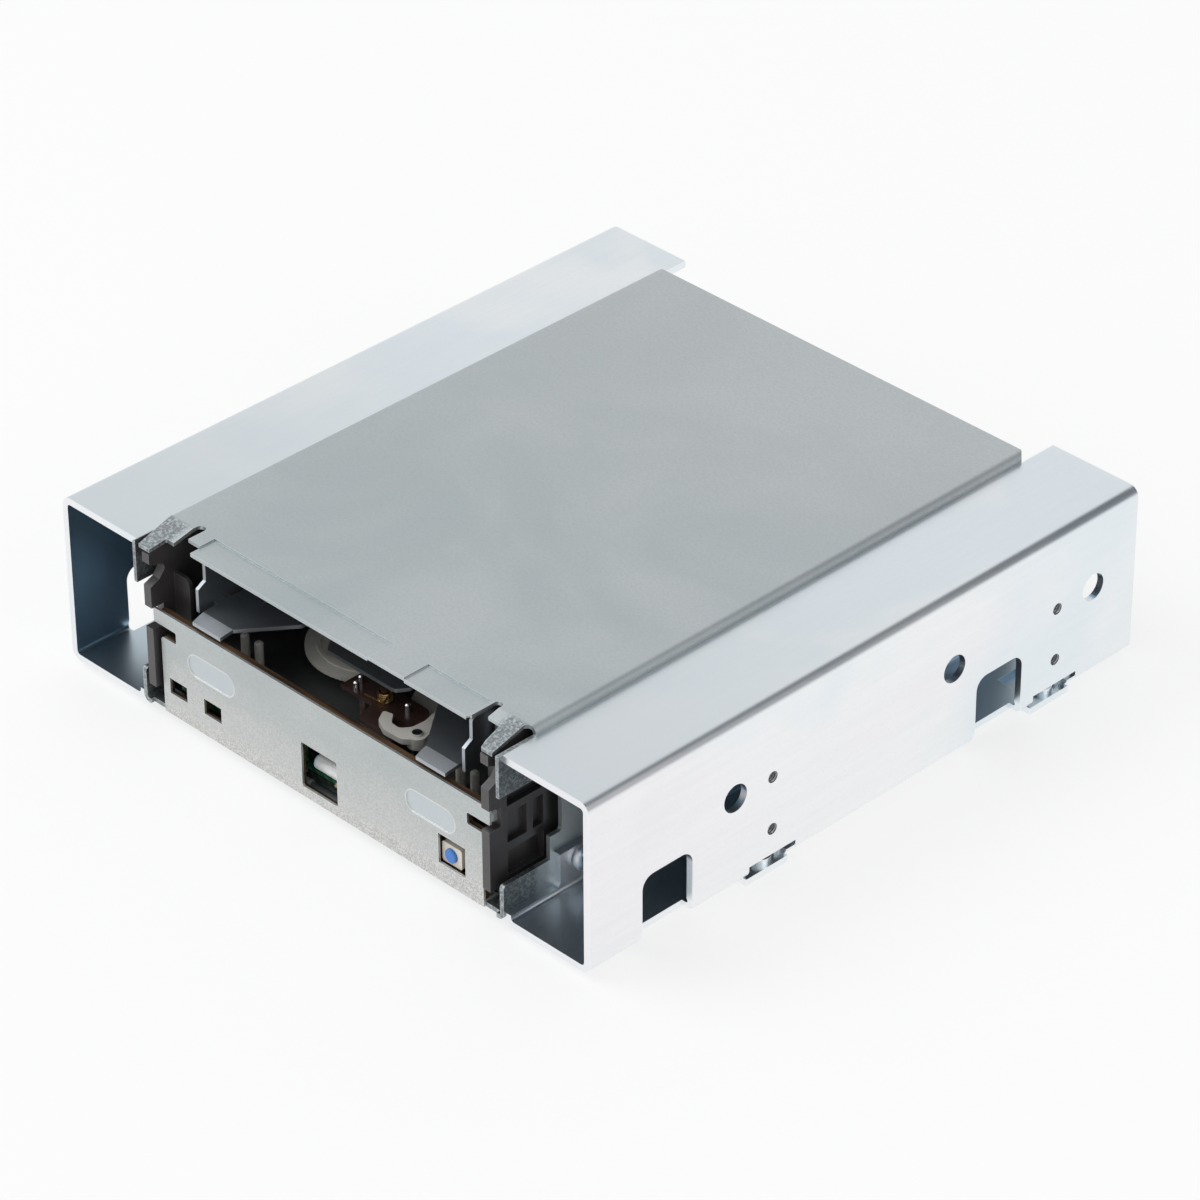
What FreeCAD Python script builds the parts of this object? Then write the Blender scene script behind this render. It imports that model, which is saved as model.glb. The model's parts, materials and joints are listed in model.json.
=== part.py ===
"""Data tape drive: a half-height 4 mm cartridge drive held between two bay adapter brackets.

The model is built with X across the drive, Y from front to back (Y = 0 at the brackets' front edges)
and Z up from the plane that the brackets' pads rest on. Every sub-part is moved to the frame of the
finished part, whose origin is the middle of the underside, as it is written to its STEP file.
"""
import FreeCAD, Part
import os
from math import acos, cos, hypot, pi, radians, sin, tan

V = FreeCAD.Vector
RIGHT = V(1, 0, 0)
BACK = V(0, 1, 0)
UP = V(0, 0, 1)
SIDES = (-1, 1)

# ---------------------------------------------------------------- driving dimensions, millimetres
# clearances
FIT = 0.02            # a pin or screw in the hole that holds it
RUNNING = 0.03        # radial clearance of a shaft that turns in its bearing
SLIDING = 0.3         # gap beside a piece that slides
AIR = 0.4             # gap between pieces that pass each other

# adapter brackets
BAY_WIDTH = 146.05
BRACKET_LENGTH = 149.6
COVER_RISE = 1.95     # how far the drive's cover stands above the brackets
BRACKET_SHEET = 1.5
BRACKET_BEND = 0.8    # inside bend radius
PAD_DROP = 1.25       # how far the screw pads stand below the bottom flange
PAD_LENGTH = 10.0
PAD_DEPTH = 11.025     # how far the pads reach in from the bracket's outer face
LIP_HEIGHT = 2.7      # low lip along the bottom flange's inner edge
TAB_HEIGHT = 10.0     # the lip's two screw tabs
TAB_LENGTH = 19.0
M3_TAP_R = 1.25
M3_COLLAR_R = 2.2
M3_COLLAR_DEPTH = 1.2
SIDE_HOLE_FRONT = 47.6
SIDE_HOLE_PITCH = 79.25
SIDE_HOLE_LOW = 10.0
SIDE_HOLE_HIGH = 21.84
BASE_HOLE_INSET = 3.175   # from the bracket's outer face
ACCESS_HOLE_R = 3.0
ACCESS_HOLE_Z = 22.0
ACCESS_AHEAD = (9.9, 29.45)   # how far two access holes stand ahead of the side holes
ACCESS_HOLE_REAR = 12.3   # the third hole, from the bracket's rear edge
NOTCH_WIDTH = 13.0
NOTCH_TOP = 16.2
NOTCH_AHEAD = (34.1, 22.85)   # how far each notch starts ahead of the side holes behind it
WINDOW_TOP = 4.2

# drive casing
DRIVE_WIDTH = 101.6
DRIVE_BOTTOM = 2.1
DRIVE_TOP = 41.3
TRAY_SHEET = 1.0
TRAY_REAR = 141.2
TRAY_SIDE_GAP = 0.35   # between the tray's sides and the cover's skirts
TRAY_FRONT = -0.4
TRAY_LIP_TOP = 9.95
TRAY_STEP_TOP = 15.15
TRAY_STEP_Y = 11.6
TRAY_SIDE_FRONT = 14.7
COVER_SHEET = 0.8
COVER_FRONT = 2.4
COVER_REAR = 141.5
SKIRT_HEIGHT = 11.15
SKIRT_FRONT = -1.1
STRIP_STEP = 0.4      # how far the cover's front strip is pressed down
STRIP_REAR = 8.6
STRIP_GAP_X = (12.0, 22.0)   # between the two lengths of the pressed strip
TONGUE_TIP = -0.9
TONGUE_DROP = 1.9
TONGUE_ROOT = 8.0

# front plate and what stands behind it
PLATE_SHEET = 0.5
PLATE_GAP = 1.05       # between the plate's edge and the side block
PLATE_TOP = 25.4
BACKING_SHEET = 1.0
BOARD_SHEET = 1.2     # upright circuit board behind the backing
BOARD_GAP = 2.1
UPRIGHT_BOARD_TOP = 14.0
BUTTON_INSET = 9.45    # from the plate's right edge
BUTTON_Z = 8.5
BUTTON_R = 1.45
BUTTON_TRAVEL = 0.3
SWITCH_WIDTH = 5.3
SWITCH_HEIGHT = 4.4
LIGHT_INSETS = (4.4, 14.4)   # from the plate's left edge
LIGHT_Z = 8.2
LIGHT_DEPTH = 0.9

# mechanism levels
MAIN_BOARD_BOTTOM = 3.9
MAIN_BOARD_SHEET = 1.6
CAPACITOR_R = 1.6
CAPACITOR_LIFT = 0.65  # its leads hold it just above the board
DECK_TOP = 16.0
DECK_SHEET = 1.5
DECK_FRONT = 6.0
DECK_REAR = 112.0
DECK_INSET = 6.2       # from the tray's inner side to the deck's straight edge

# side blocks
BLOCK_GAP = 1.75       # between a block and the tray's side
BLOCK_WALL = 2.0
BLOCK_FRONT = -1.1
BLOCK_REAR = 17.0
BLOCK_BOTTOM = 7.6

# cassette holder and its carriage
HOLDER_GAP = 0.7       # between the holder's sides and the carriage
HOLDER_SHEET = 0.8
HOLDER_FLOOR = 27.4
HOLDER_TOP_GAP = 0.8   # below the cover
LOAD_TRAVEL = 18.0
DROP_TRAVEL = 4.0
CARRIAGE_SHEET = 1.2
CARRIAGE_GAP = 0.8     # between the carriage and the guide plates
CARRIAGE_TOP_DROP = 2.7   # below the holder's top
FRAME_SHEET = 1.2
FRAME_INSET = 2.2      # from the deck's edge to the guide plates' outer faces
FRAME_TOP_DROP = 0.5   # below the carriage's top
HOLDER_PINS_Y = (20.0, 32.0)
HOLDER_PIN_DROP = 5.7  # below the holder's top
HOLDER_PIN_R = 1.0
CARRIAGE_PINS_Y = (16.0, 38.0)
CARRIAGE_PIN_Z = 25.0
CARRIAGE_PIN_R = 1.2

# reels
REEL_Y = 28.0
REEL_SPACING = 30.0
REEL_FLANGE_R = 13.2
REEL_RIM_R = 9.2
REEL_HUB_R = 4.6
SPINDLE_R = 3.2
SPINDLE_TOP = 27.0
REEL_PIN_R = 1.0
REEL_MOTOR_Y = 41.0
REEL_PULLEY_R = 4.0
IDLER_R = 4.4
TYRE = 0.9

# loading drive
RACK_BACK = 1.3        # thickness of the rack behind its teeth
CAM_Y = 66.0
GEAR_MODULE = 1.0
CAM_TEETH = 18
WORM_WHEEL_TEETH = 30
BACKLASH = 0.3
WORM_R = 1.9
WORM_SPACING = 11.0    # between the axes of worm and wheel, seen from above
WORM_TURNS = 7
WORM_GAP = 0.12        # between worm and wheel
LOADING_MOTOR_R = 4.4
LOADING_MOTOR_LENGTH = 16.0

# head drum
DRUM_X = 4.0
DRUM_Y = 84.0
DRUM_Z = 26.0
DRUM_R = 15.0
DRUM_TILT = 5.0
DRUM_SHAFT_R = 1.5

# capstan and pinch roller
CAPSTAN_X = 24.0
CAPSTAN_Y = 62.0
CAPSTAN_R = 1.25
FLYWHEEL_R = 9.0
PINCH_PIVOT = (34.0, 68.0)
PINCH_REST = (31.6, 59.1)
PINCH_ROLLER_R = 3.4

# tape guides
LEFT_TRACK = ((-9.0, 58.0), (-11.0, 70.0))
RIGHT_TRACK = ((16.4, 58.0), (19.9, 70.5))
GUIDE_ROLLER_R = 2.0
POST_TOP = 33.0
GUIDE_POSTS = ((-13.0, 55.4), (25.5, 56.0), (27.6, 72.4))
TENSION_PIVOT = (-24.0, 50.0)
TENSION_POST = (-15.5, 55.2)

# screws and pins
SCREW_R = 1.5
SMALL_SCREW_R = 1.25
MOUNT_SCREW_R = 1.25
BRACKET_SCREW_FRONT = 18.2
BRACKET_SCREW_REAR = 29.8   # from the bracket's rear edge
BRACKET_SCREW_Z = 8.4
COVER_SCREWS_Y = (30.0, 124.0)
COVER_SCREW_DROP = 7.3    # below the cover's top
PLATE_SCREWS_X = (-12.0, 12.0)
PLATE_SCREW_Y = 6.0
BOARD_SCREW_INSET = 6.2   # from the tray's inner side
BOARD_SCREWS_FRONT = (14.0, 76.0)
BOARD_SCREW_REARS = (7.2, 29.2)   # the left and right rear ones, from the tray's rear
MOUNT_OUT = 1.0        # rubber mounts, outwards from the deck's straight edge
MOUNTS_Y = (24.0, 100.0)
SHELF_TOP = 11.3

# rear plugs
DATA_PLUG_WIDTH = 65.0
PLUG_GAP = 2.0
DATA_PLUG_TOP = 17.5
POWER_PLUG_WIDTH = 21.6
POWER_PLUG_INSET = 2.2    # from the tray's inner side
POWER_PLUG_TOP = 17.5

# ---------------------------------------------------------------- sizes worked out from them
CENTRE_Y = (SKIRT_FRONT + BRACKET_LENGTH) / 2
HALF_BAY = BAY_WIDTH / 2
HALF_DRIVE = DRIVE_WIDTH / 2
BRACKET_BOTTOM = PAD_DROP
BRACKET_TOP = DRIVE_TOP - COVER_RISE
SIDE_HOLES_Y = (SIDE_HOLE_FRONT, SIDE_HOLE_FRONT + SIDE_HOLE_PITCH)
ACCESS_HOLES_Y = (*(y - ahead for y, ahead in zip(SIDE_HOLES_Y, ACCESS_AHEAD)),
                  BRACKET_LENGTH - ACCESS_HOLE_REAR)
NOTCHES_Y = tuple(y - ahead for y, ahead in zip(SIDE_HOLES_Y, NOTCH_AHEAD))
BRACKET_SCREWS_Y = (BRACKET_SCREW_FRONT, BRACKET_LENGTH - BRACKET_SCREW_REAR)
PAD_INNER_X = HALF_BAY - PAD_DEPTH
BASE_HOLE_X = HALF_BAY - BASE_HOLE_INSET
SKIRT_BOTTOM = DRIVE_TOP - SKIRT_HEIGHT
TRAY_SIDE_TOP = SKIRT_BOTTOM - TRAY_SIDE_GAP
COVER_SCREW_Z = DRIVE_TOP - COVER_SCREW_DROP
DECK_BOTTOM = DECK_TOP - DECK_SHEET
MAIN_BOARD_TOP = MAIN_BOARD_BOTTOM + MAIN_BOARD_SHEET
TRAY_FLOOR = DRIVE_BOTTOM + TRAY_SHEET
TRAY_INNER = HALF_DRIVE - TRAY_SHEET
BLOCK_OUTER = TRAY_INNER - BLOCK_GAP
BLOCK_INNER = BLOCK_OUTER - BLOCK_WALL
PLATE_HALF_WIDTH = BLOCK_INNER - PLATE_GAP
BUTTON_X = PLATE_HALF_WIDTH - BUTTON_INSET
LIGHTS_X = tuple(inset - PLATE_HALF_WIDTH for inset in LIGHT_INSETS)
DECK_HALF_WIDTH = TRAY_INNER - DECK_INSET
MOUNT_X = DECK_HALF_WIDTH + MOUNT_OUT
FRAME_OUTER = DECK_HALF_WIDTH - FRAME_INSET
FRAME_INNER = FRAME_OUTER - FRAME_SHEET
CARRIAGE_OUTER = FRAME_INNER - CARRIAGE_GAP
CARRIAGE_INNER = CARRIAGE_OUTER - CARRIAGE_SHEET
HOLDER_HALF_WIDTH = CARRIAGE_INNER - HOLDER_GAP
HOLDER_TOP = DRIVE_TOP - COVER_SHEET - HOLDER_TOP_GAP
HOLDER_PIN_Z = HOLDER_TOP - HOLDER_PIN_DROP
CARRIAGE_TOP = HOLDER_TOP - CARRIAGE_TOP_DROP
FRAME_TOP = CARRIAGE_TOP - FRAME_TOP_DROP
BOARD_SCREW_X = TRAY_INNER - BOARD_SCREW_INSET
BOARD_SCREWS = [(side * BOARD_SCREW_X, y) for side, rear in zip(SIDES, BOARD_SCREW_REARS)
                for y in (*BOARD_SCREWS_FRONT, TRAY_REAR - rear)]
POWER_PLUG_X = (TRAY_INNER - POWER_PLUG_INSET - POWER_PLUG_WIDTH, TRAY_INNER - POWER_PLUG_INSET)
DATA_PLUG_X = (POWER_PLUG_X[0] - PLUG_GAP - DATA_PLUG_WIDTH, POWER_PLUG_X[0] - PLUG_GAP)
BACKING_REAR = PLATE_SHEET + BACKING_SHEET
BOARD_FRONT = BACKING_REAR + BOARD_GAP
REELS_X = (-REEL_SPACING / 2, REEL_SPACING / 2)
HUB_OPENING_REAR = REEL_Y + SPINDLE_R + 0.6
IDLER_Z = DECK_TOP + 0.95
IDLER_WIDTH = 1.2
ARM_SHEET = 0.6
IDLER_Y = REEL_MOTOR_Y - REEL_PULLEY_R - IDLER_R - 0.05
REEL_PIN_TOP = DECK_TOP + 7.5
REEL_MOTOR_BOSS_R = 2.4
BRIDGE_PLATE_Z = 22.0
SENSOR_PINS = ((-3.4, 14.4), (-2.6, 12.4), (9.8, 14.2))
SPRING_POST = (4.2, 13.6)
SPRING_R = 1.3
SPRING_WIRE = 0.22
SPRING_TURNS = 4
LEVER_PIVOT = (18.4, 8.6)
RACK_BOTTOM = DECK_TOP + 1.0
RACK_HEIGHT = 1.6
RACK_ROOT_DEPTH = 1.1 * GEAR_MODULE
CAM_X = -(CARRIAGE_OUTER - RACK_BACK - RACK_ROOT_DEPTH - GEAR_MODULE * CAM_TEETH / 2)
WORM_X = CAM_X + WORM_SPACING
WHEEL_MODULE = 2 * (WORM_SPACING - WORM_R - WORM_GAP) / (WORM_WHEEL_TEETH + 1.7)
WORM_HALF_LENGTH = WORM_TURNS * pi * WHEEL_MODULE / 2
WORM_Z = DECK_TOP + 4.9
LOADING_MOTOR_FRONT = CAM_Y + 10.0
LOWER_DRUM_HEIGHT = 6.5
UPPER_DRUM_HEIGHT = 8.0
DRUM_MOTOR_R = 11.0
CAPSTAN_HOUSING_R = 2.6
FLYWHEEL_Z = 9.4
TRACK_HALF_WIDTH = 1.2
PIVOT_PINS = ((REELS_X[0], REEL_Y, REEL_PIN_TOP), (REELS_X[1], REEL_Y, REEL_PIN_TOP),
              (CAM_X, CAM_Y, WORM_Z + 2.4), (*PINCH_PIVOT, DECK_TOP + 7.0), (*TENSION_PIVOT, DECK_TOP + 3.4),
              (*LEVER_PIVOT, BRIDGE_PLATE_Z + 2.2))


# ---------------------------------------------------------------- shape helpers
def span(a, b):
    """The two numbers in rising order."""
    return (min(a, b), max(a, b))


def box(x, y, z):
    """Block between the pairs of limits x, y and z."""
    (x0, x1), (y0, y1), (z0, z1) = span(*x), span(*y), span(*z)
    return Part.makeBox(x1 - x0, y1 - y0, z1 - z0, V(x0, y0, z0))


def rod(radius, start, length, axis=UP):
    return Part.makeCylinder(radius, length, V(*start), axis)


def tube(outer, inner, start, length, axis=UP):
    return rod(outer, start, length, axis).cut(rod(inner, start, length, axis))


def fuse(*shapes):
    """One clean solid, or several separate ones, out of shapes that touch or overlap."""
    whole = shapes[0]
    if len(shapes) > 1:
        whole = whole.fuse(list(shapes[1:]))
    return whole.removeSplitter()


def group(shapes):
    return Part.makeCompound(list(shapes))


def mirrored(shape):
    """The left-hand twin of a right-hand piece."""
    return shape.mirror(V(0, 0, 0), RIGHT)


def point(plane, u, v, level):
    """Space point of (u, v) drawn on a plane 'xy', 'xz' or 'yz' that stands at level."""
    return {"xy": V(u, v, level), "xz": V(u, level, v), "yz": V(level, u, v)}[plane]


def outline(plane, corners, level):
    """Closed wire through corners (u, v) or (u, v, radius), rounded where a radius is given."""
    stops = []
    for index, corner in enumerate(corners):
        here = V(corner[0], corner[1], 0)
        radius = corner[2] if len(corner) > 2 else 0
        if radius == 0:
            stops.append((here, None, here))
            continue
        previous = corners[index - 1]
        following = corners[(index + 1) % len(corners)]
        back = (V(previous[0], previous[1], 0) - here).normalize()
        ahead = (V(following[0], following[1], 0) - here).normalize()
        half = back.getAngle(ahead) / 2
        inward = (back + ahead).normalize()
        reach = radius / tan(half)
        middle = here + inward * (radius / sin(half) - radius)
        stops.append((here + back * reach, middle, here + ahead * reach))
    edges = []
    for index, (start, middle, end) in enumerate(stops):
        if middle is not None:
            arc = [point(plane, p.x, p.y, level) for p in (start, middle, end)]
            edges.append(Part.Arc(*arc).toShape())
        target = stops[(index + 1) % len(stops)][0]
        if (target - end).Length > 1e-6:
            first = point(plane, end.x, end.y, level)
            edges.append(Part.LineSegment(first, point(plane, target.x, target.y, level)).toShape())
    return Part.Wire(edges)


def slab(plane, corners, limits):
    """Outline drawn on a plane and thickened between two levels."""
    low, high = span(*limits)
    along = {"xy": UP, "xz": BACK, "yz": RIGHT}[plane]
    return Part.Face(outline(plane, corners, low)).extrude(along * (high - low))


def bent_strip(path, sheet, bend):
    """Corners of a bent sheet: path is one side of it and the sheet lies to the left of the path."""
    normals = []
    for (u0, v0), (u1, v1) in zip(path, path[1:]):
        length = hypot(u1 - u0, v1 - v0)
        normals.append(((v0 - v1) / length, (u1 - u0) / length))
    near, far = [], []
    for index, (u, v) in enumerate(path):
        before = normals[max(index - 1, 0)]
        after = normals[min(index, len(normals) - 1)]
        share = 1 + before[0] * after[0] + before[1] * after[1]
        shift = ((before[0] + after[0]) / share, (before[1] + after[1]) / share)
        turn = before[0] * after[1] - before[1] * after[0]
        near_r = far_r = 0
        if abs(turn) > 1e-9:
            near_r, far_r = (bend + sheet, bend) if turn > 0 else (bend, bend + sheet)
        near.append((u, v, near_r))
        far.append((u + shift[0] * sheet, v + shift[1] * sheet, far_r))
    return near + far[::-1]


def slot(plane, start, end, radius, limits):
    """Round-ended bar or slot between two points (u, v) of a plane."""
    length = hypot(end[0] - start[0], end[1] - start[1])
    along_u, along_v = (end[0] - start[0]) / length * radius, (end[1] - start[1]) / length * radius
    corners = []
    for (u, v), way in ((start, -1), (end, 1)):
        for side in (way, -way):
            corners.append((u + way * along_u + side * along_v, v + way * along_v - side * along_u,
                            radius * 0.999))
    return slab(plane, corners, limits)


def gear(module, teeth, centre, z, phase=0.0):
    """Spur gear with involute flanks; phase is the direction of one tooth in degrees."""
    pitch_r = module * teeth / 2
    base_r = pitch_r * cos(radians(20))
    root_r = pitch_r - 1.15 * module
    tip_r = pitch_r + 0.85 * module

    def roll(radius):
        pressure = acos(min(1.0, base_r / radius))
        return tan(pressure) - pressure

    def half_angle(radius):
        return pi / (2 * teeth) - BACKLASH / (2 * pitch_r) + roll(pitch_r) - roll(max(radius, base_r))

    corners = []
    for tooth in range(teeth):
        middle = radians(phase) + 2 * pi * tooth / teeth
        for radius in (root_r, pitch_r, tip_r):
            angle = middle - half_angle(radius)
            corners.append((centre[0] + radius * cos(angle), centre[1] + radius * sin(angle)))
        for radius in (tip_r, pitch_r, root_r):
            angle = middle + half_angle(radius)
            corners.append((centre[0] + radius * cos(angle), centre[1] + radius * sin(angle)))
    return slab("xy", corners, z)


def pan_screw(radius, length, head_r, head_height, seat, axis):
    """Screw whose head sits on the point seat and whose shank runs back along the axis."""
    straight = head_height * 0.6
    head = rod(head_r, tuple(seat), straight, axis)
    crown = Part.makeCone(head_r, head_r * 0.8, head_height - straight, V(*seat) + axis * straight, axis)
    shank = rod(radius, tuple(V(*seat) - axis * length), length, axis)
    return fuse(head, crown, shank)


# ---------------------------------------------------------------- adapter brackets
def right_bracket():
    lip_x = HALF_DRIVE
    tab_top = BRACKET_BOTTOM + TAB_HEIGHT
    path = [(lip_x, tab_top), (lip_x, BRACKET_BOTTOM), (HALF_BAY, BRACKET_BOTTOM),
            (HALF_BAY, BRACKET_TOP), (lip_x, BRACKET_TOP)]
    channel = slab("xz", bent_strip(path, BRACKET_SHEET, BRACKET_BEND), (0, BRACKET_LENGTH))
    lip_top = BRACKET_BOTTOM + LIP_HEIGHT
    lip_cut_x = (lip_x - 1, lip_x + BRACKET_SHEET + BRACKET_BEND)
    gaps = []
    edges = [-1.0]
    for y in BRACKET_SCREWS_Y:
        edges += [y - TAB_LENGTH / 2 + 4, y + TAB_LENGTH / 2 + 4]
    edges.append(BRACKET_LENGTH + 1)
    for y0, y1 in zip(edges[::2], edges[1::2]):
        corners = [(y0, tab_top + 1), (y0, lip_top, 1.2), (y1, lip_top, 1.2), (y1, tab_top + 1)]
        gaps.append(slab("yz", corners, lip_cut_x))
    wall = (HALF_BAY - BRACKET_SHEET - 0.5, HALF_BAY + 1)
    holes = [rod(ACCESS_HOLE_R, (wall[0], y, ACCESS_HOLE_Z), 3, RIGHT) for y in ACCESS_HOLES_Y]
    for y in NOTCHES_Y:
        foot = BRACKET_BOTTOM - 1
        corners = [(y - 1.2, foot), (y, BRACKET_BOTTOM + 3, 1), (y, NOTCH_TOP, 2.8),
                   (y + NOTCH_WIDTH, NOTCH_TOP, 2.8), (y + NOTCH_WIDTH, BRACKET_BOTTOM + 3, 1),
                   (y + NOTCH_WIDTH + 1.2, foot)]
        holes.append(slab("yz", corners, (HALF_BAY - 3.2, HALF_BAY + 1)))
    pads, collars, bores = [], [], []
    for y in SIDE_HOLES_Y:
        front, rear = y - PAD_LENGTH / 2 - 1, y + PAD_LENGTH / 2 - 1
        holes.append(box((HALF_BAY - 2.4, HALF_BAY + 1), (front, rear), (0, WINDOW_TOP)))
        holes.append(box(wall, (rear - 0.1, rear + 2.4), (BRACKET_BOTTOM + 1.9, WINDOW_TOP)))
        holes.append(box((PAD_INNER_X, HALF_BAY), (front, rear), (0, BRACKET_BOTTOM + 2)))
        pad = box((PAD_INNER_X - 0.6, HALF_BAY - 0.2), (front - 0.6, rear + 0.6),
                  (0, BRACKET_BOTTOM + BRACKET_SHEET))
        hollow = box((PAD_INNER_X + 0.9, HALF_BAY + 1), (front + 0.9, rear - 0.9),
                     (BRACKET_SHEET, BRACKET_BOTTOM + BRACKET_SHEET + 1))
        rim = box((HALF_BAY - 2.4, HALF_BAY), (front - 1, rear + 1), (BRACKET_SHEET, BRACKET_BOTTOM + 2))
        pads.append(pad.cut([hollow, rim]))
        seat = (BASE_HOLE_X, y, BRACKET_SHEET - 0.1)
        collars.append(rod(M3_COLLAR_R, seat, M3_COLLAR_DEPTH + 0.1))
        bores.append(rod(M3_TAP_R, (seat[0], y, -1), BRACKET_SHEET + M3_COLLAR_DEPTH + 3))
        for z in (SIDE_HOLE_LOW, SIDE_HOLE_HIGH):
            inner = HALF_BAY - BRACKET_SHEET - M3_COLLAR_DEPTH
            collars.append(rod(M3_COLLAR_R, (inner, y, z), M3_COLLAR_DEPTH + 0.2, RIGHT))
            bores.append(rod(M3_TAP_R, (inner - 1, y, z), BRACKET_SHEET + M3_COLLAR_DEPTH + 2, RIGHT))
    for y in BRACKET_SCREWS_Y:
        bores.append(rod(SCREW_R + 0.2, (lip_x - 1, y, BRACKET_SCREW_Z), 4, RIGHT))
    body = channel.cut(gaps + holes).fuse(pads + collars)
    return body.cut(bores).removeSplitter()


# ---------------------------------------------------------------- drive casing
def chassis_tray():
    """Floor, two sides and rear wall bent from one sheet, with shelves for the rubber mounts."""
    path = [(-HALF_DRIVE, TRAY_SIDE_TOP), (-HALF_DRIVE, DRIVE_BOTTOM),
            (HALF_DRIVE, DRIVE_BOTTOM), (HALF_DRIVE, TRAY_SIDE_TOP)]
    channel = slab("xz", bent_strip(path, TRAY_SHEET, 0.5), (TRAY_FRONT, TRAY_REAR))
    side = [(TRAY_FRONT, DRIVE_BOTTOM - 1), (TRAY_FRONT, TRAY_LIP_TOP, 0.8), (TRAY_STEP_Y, TRAY_LIP_TOP),
            (TRAY_STEP_Y, TRAY_STEP_TOP), (TRAY_SIDE_FRONT, TRAY_STEP_TOP, 0.6),
            (TRAY_SIDE_FRONT, TRAY_SIDE_TOP + 1), (TRAY_REAR + 1, TRAY_SIDE_TOP + 1),
            (TRAY_REAR + 1, DRIVE_BOTTOM - 1)]
    channel = channel.common(slab("yz", side, (-HALF_DRIVE - 1, HALF_DRIVE + 1)))
    mouth = box((-TRAY_INNER + 1, TRAY_INNER - 1), (TRAY_FRONT - 1, PLATE_SHEET), (0, TRAY_FLOOR + 1))
    wall_top = DRIVE_TOP - COVER_SHEET
    rear = slab("xz", [(-TRAY_INNER, DRIVE_BOTTOM), (-TRAY_INNER, wall_top, 1.2), (TRAY_INNER, wall_top, 1.2),
                       (TRAY_INNER, DRIVE_BOTTOM)], (TRAY_REAR - TRAY_SHEET, TRAY_REAR))
    openings = [box(DATA_PLUG_X, (TRAY_REAR - 3, TRAY_REAR + 1), (TRAY_FLOOR + 1, DATA_PLUG_TOP)),
                box(POWER_PLUG_X, (TRAY_REAR - 3, TRAY_REAR + 1), (TRAY_FLOOR + 1, POWER_PLUG_TOP))]
    shape = fuse(channel.cut(mouth), rear).cut(openings)
    extras, holes = [], []
    for side in SIDES:
        for y in COVER_SCREWS_Y:
            ear = box((side * (HALF_DRIVE - COVER_SHEET - TRAY_SHEET), side * (HALF_DRIVE - COVER_SHEET)),
                      (y - 5, y + 5), (TRAY_SIDE_TOP - 2, COVER_SCREW_Z + 3.5))
            extras.append(ear)
            holes.append(rod(SMALL_SCREW_R + FIT, (side * (HALF_DRIVE - 6), y, COVER_SCREW_Z), 8,
                             RIGHT * side))
        for y in MOUNTS_Y:
            shelf = box((side * (MOUNT_X - 4.2), side * TRAY_INNER), (y - 4.6, y + 4.6),
                        (SHELF_TOP - 1, SHELF_TOP))
            extras.append(shelf)
            holes.append(rod(SMALL_SCREW_R + FIT, (side * MOUNT_X, y, SHELF_TOP - 2), 3))
        for y in BRACKET_SCREWS_Y:
            holes.append(rod(SCREW_R + FIT, (side * (HALF_DRIVE - 4), y, BRACKET_SCREW_Z), 5, RIGHT * side))
    for x, y in BOARD_SCREWS:
        extras.append(rod(3.0, (x, y, TRAY_FLOOR), MAIN_BOARD_BOTTOM - TRAY_FLOOR))
        holes.append(rod(SMALL_SCREW_R + FIT, (x, y, DRIVE_BOTTOM - 1), 5))
    for x in PLATE_SCREWS_X:
        holes.append(rod(SMALL_SCREW_R + FIT, (x, PLATE_SCREW_Y, DRIVE_BOTTOM - 1), 5))
    return shape.fuse(extras).cut(holes).removeSplitter()


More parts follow.
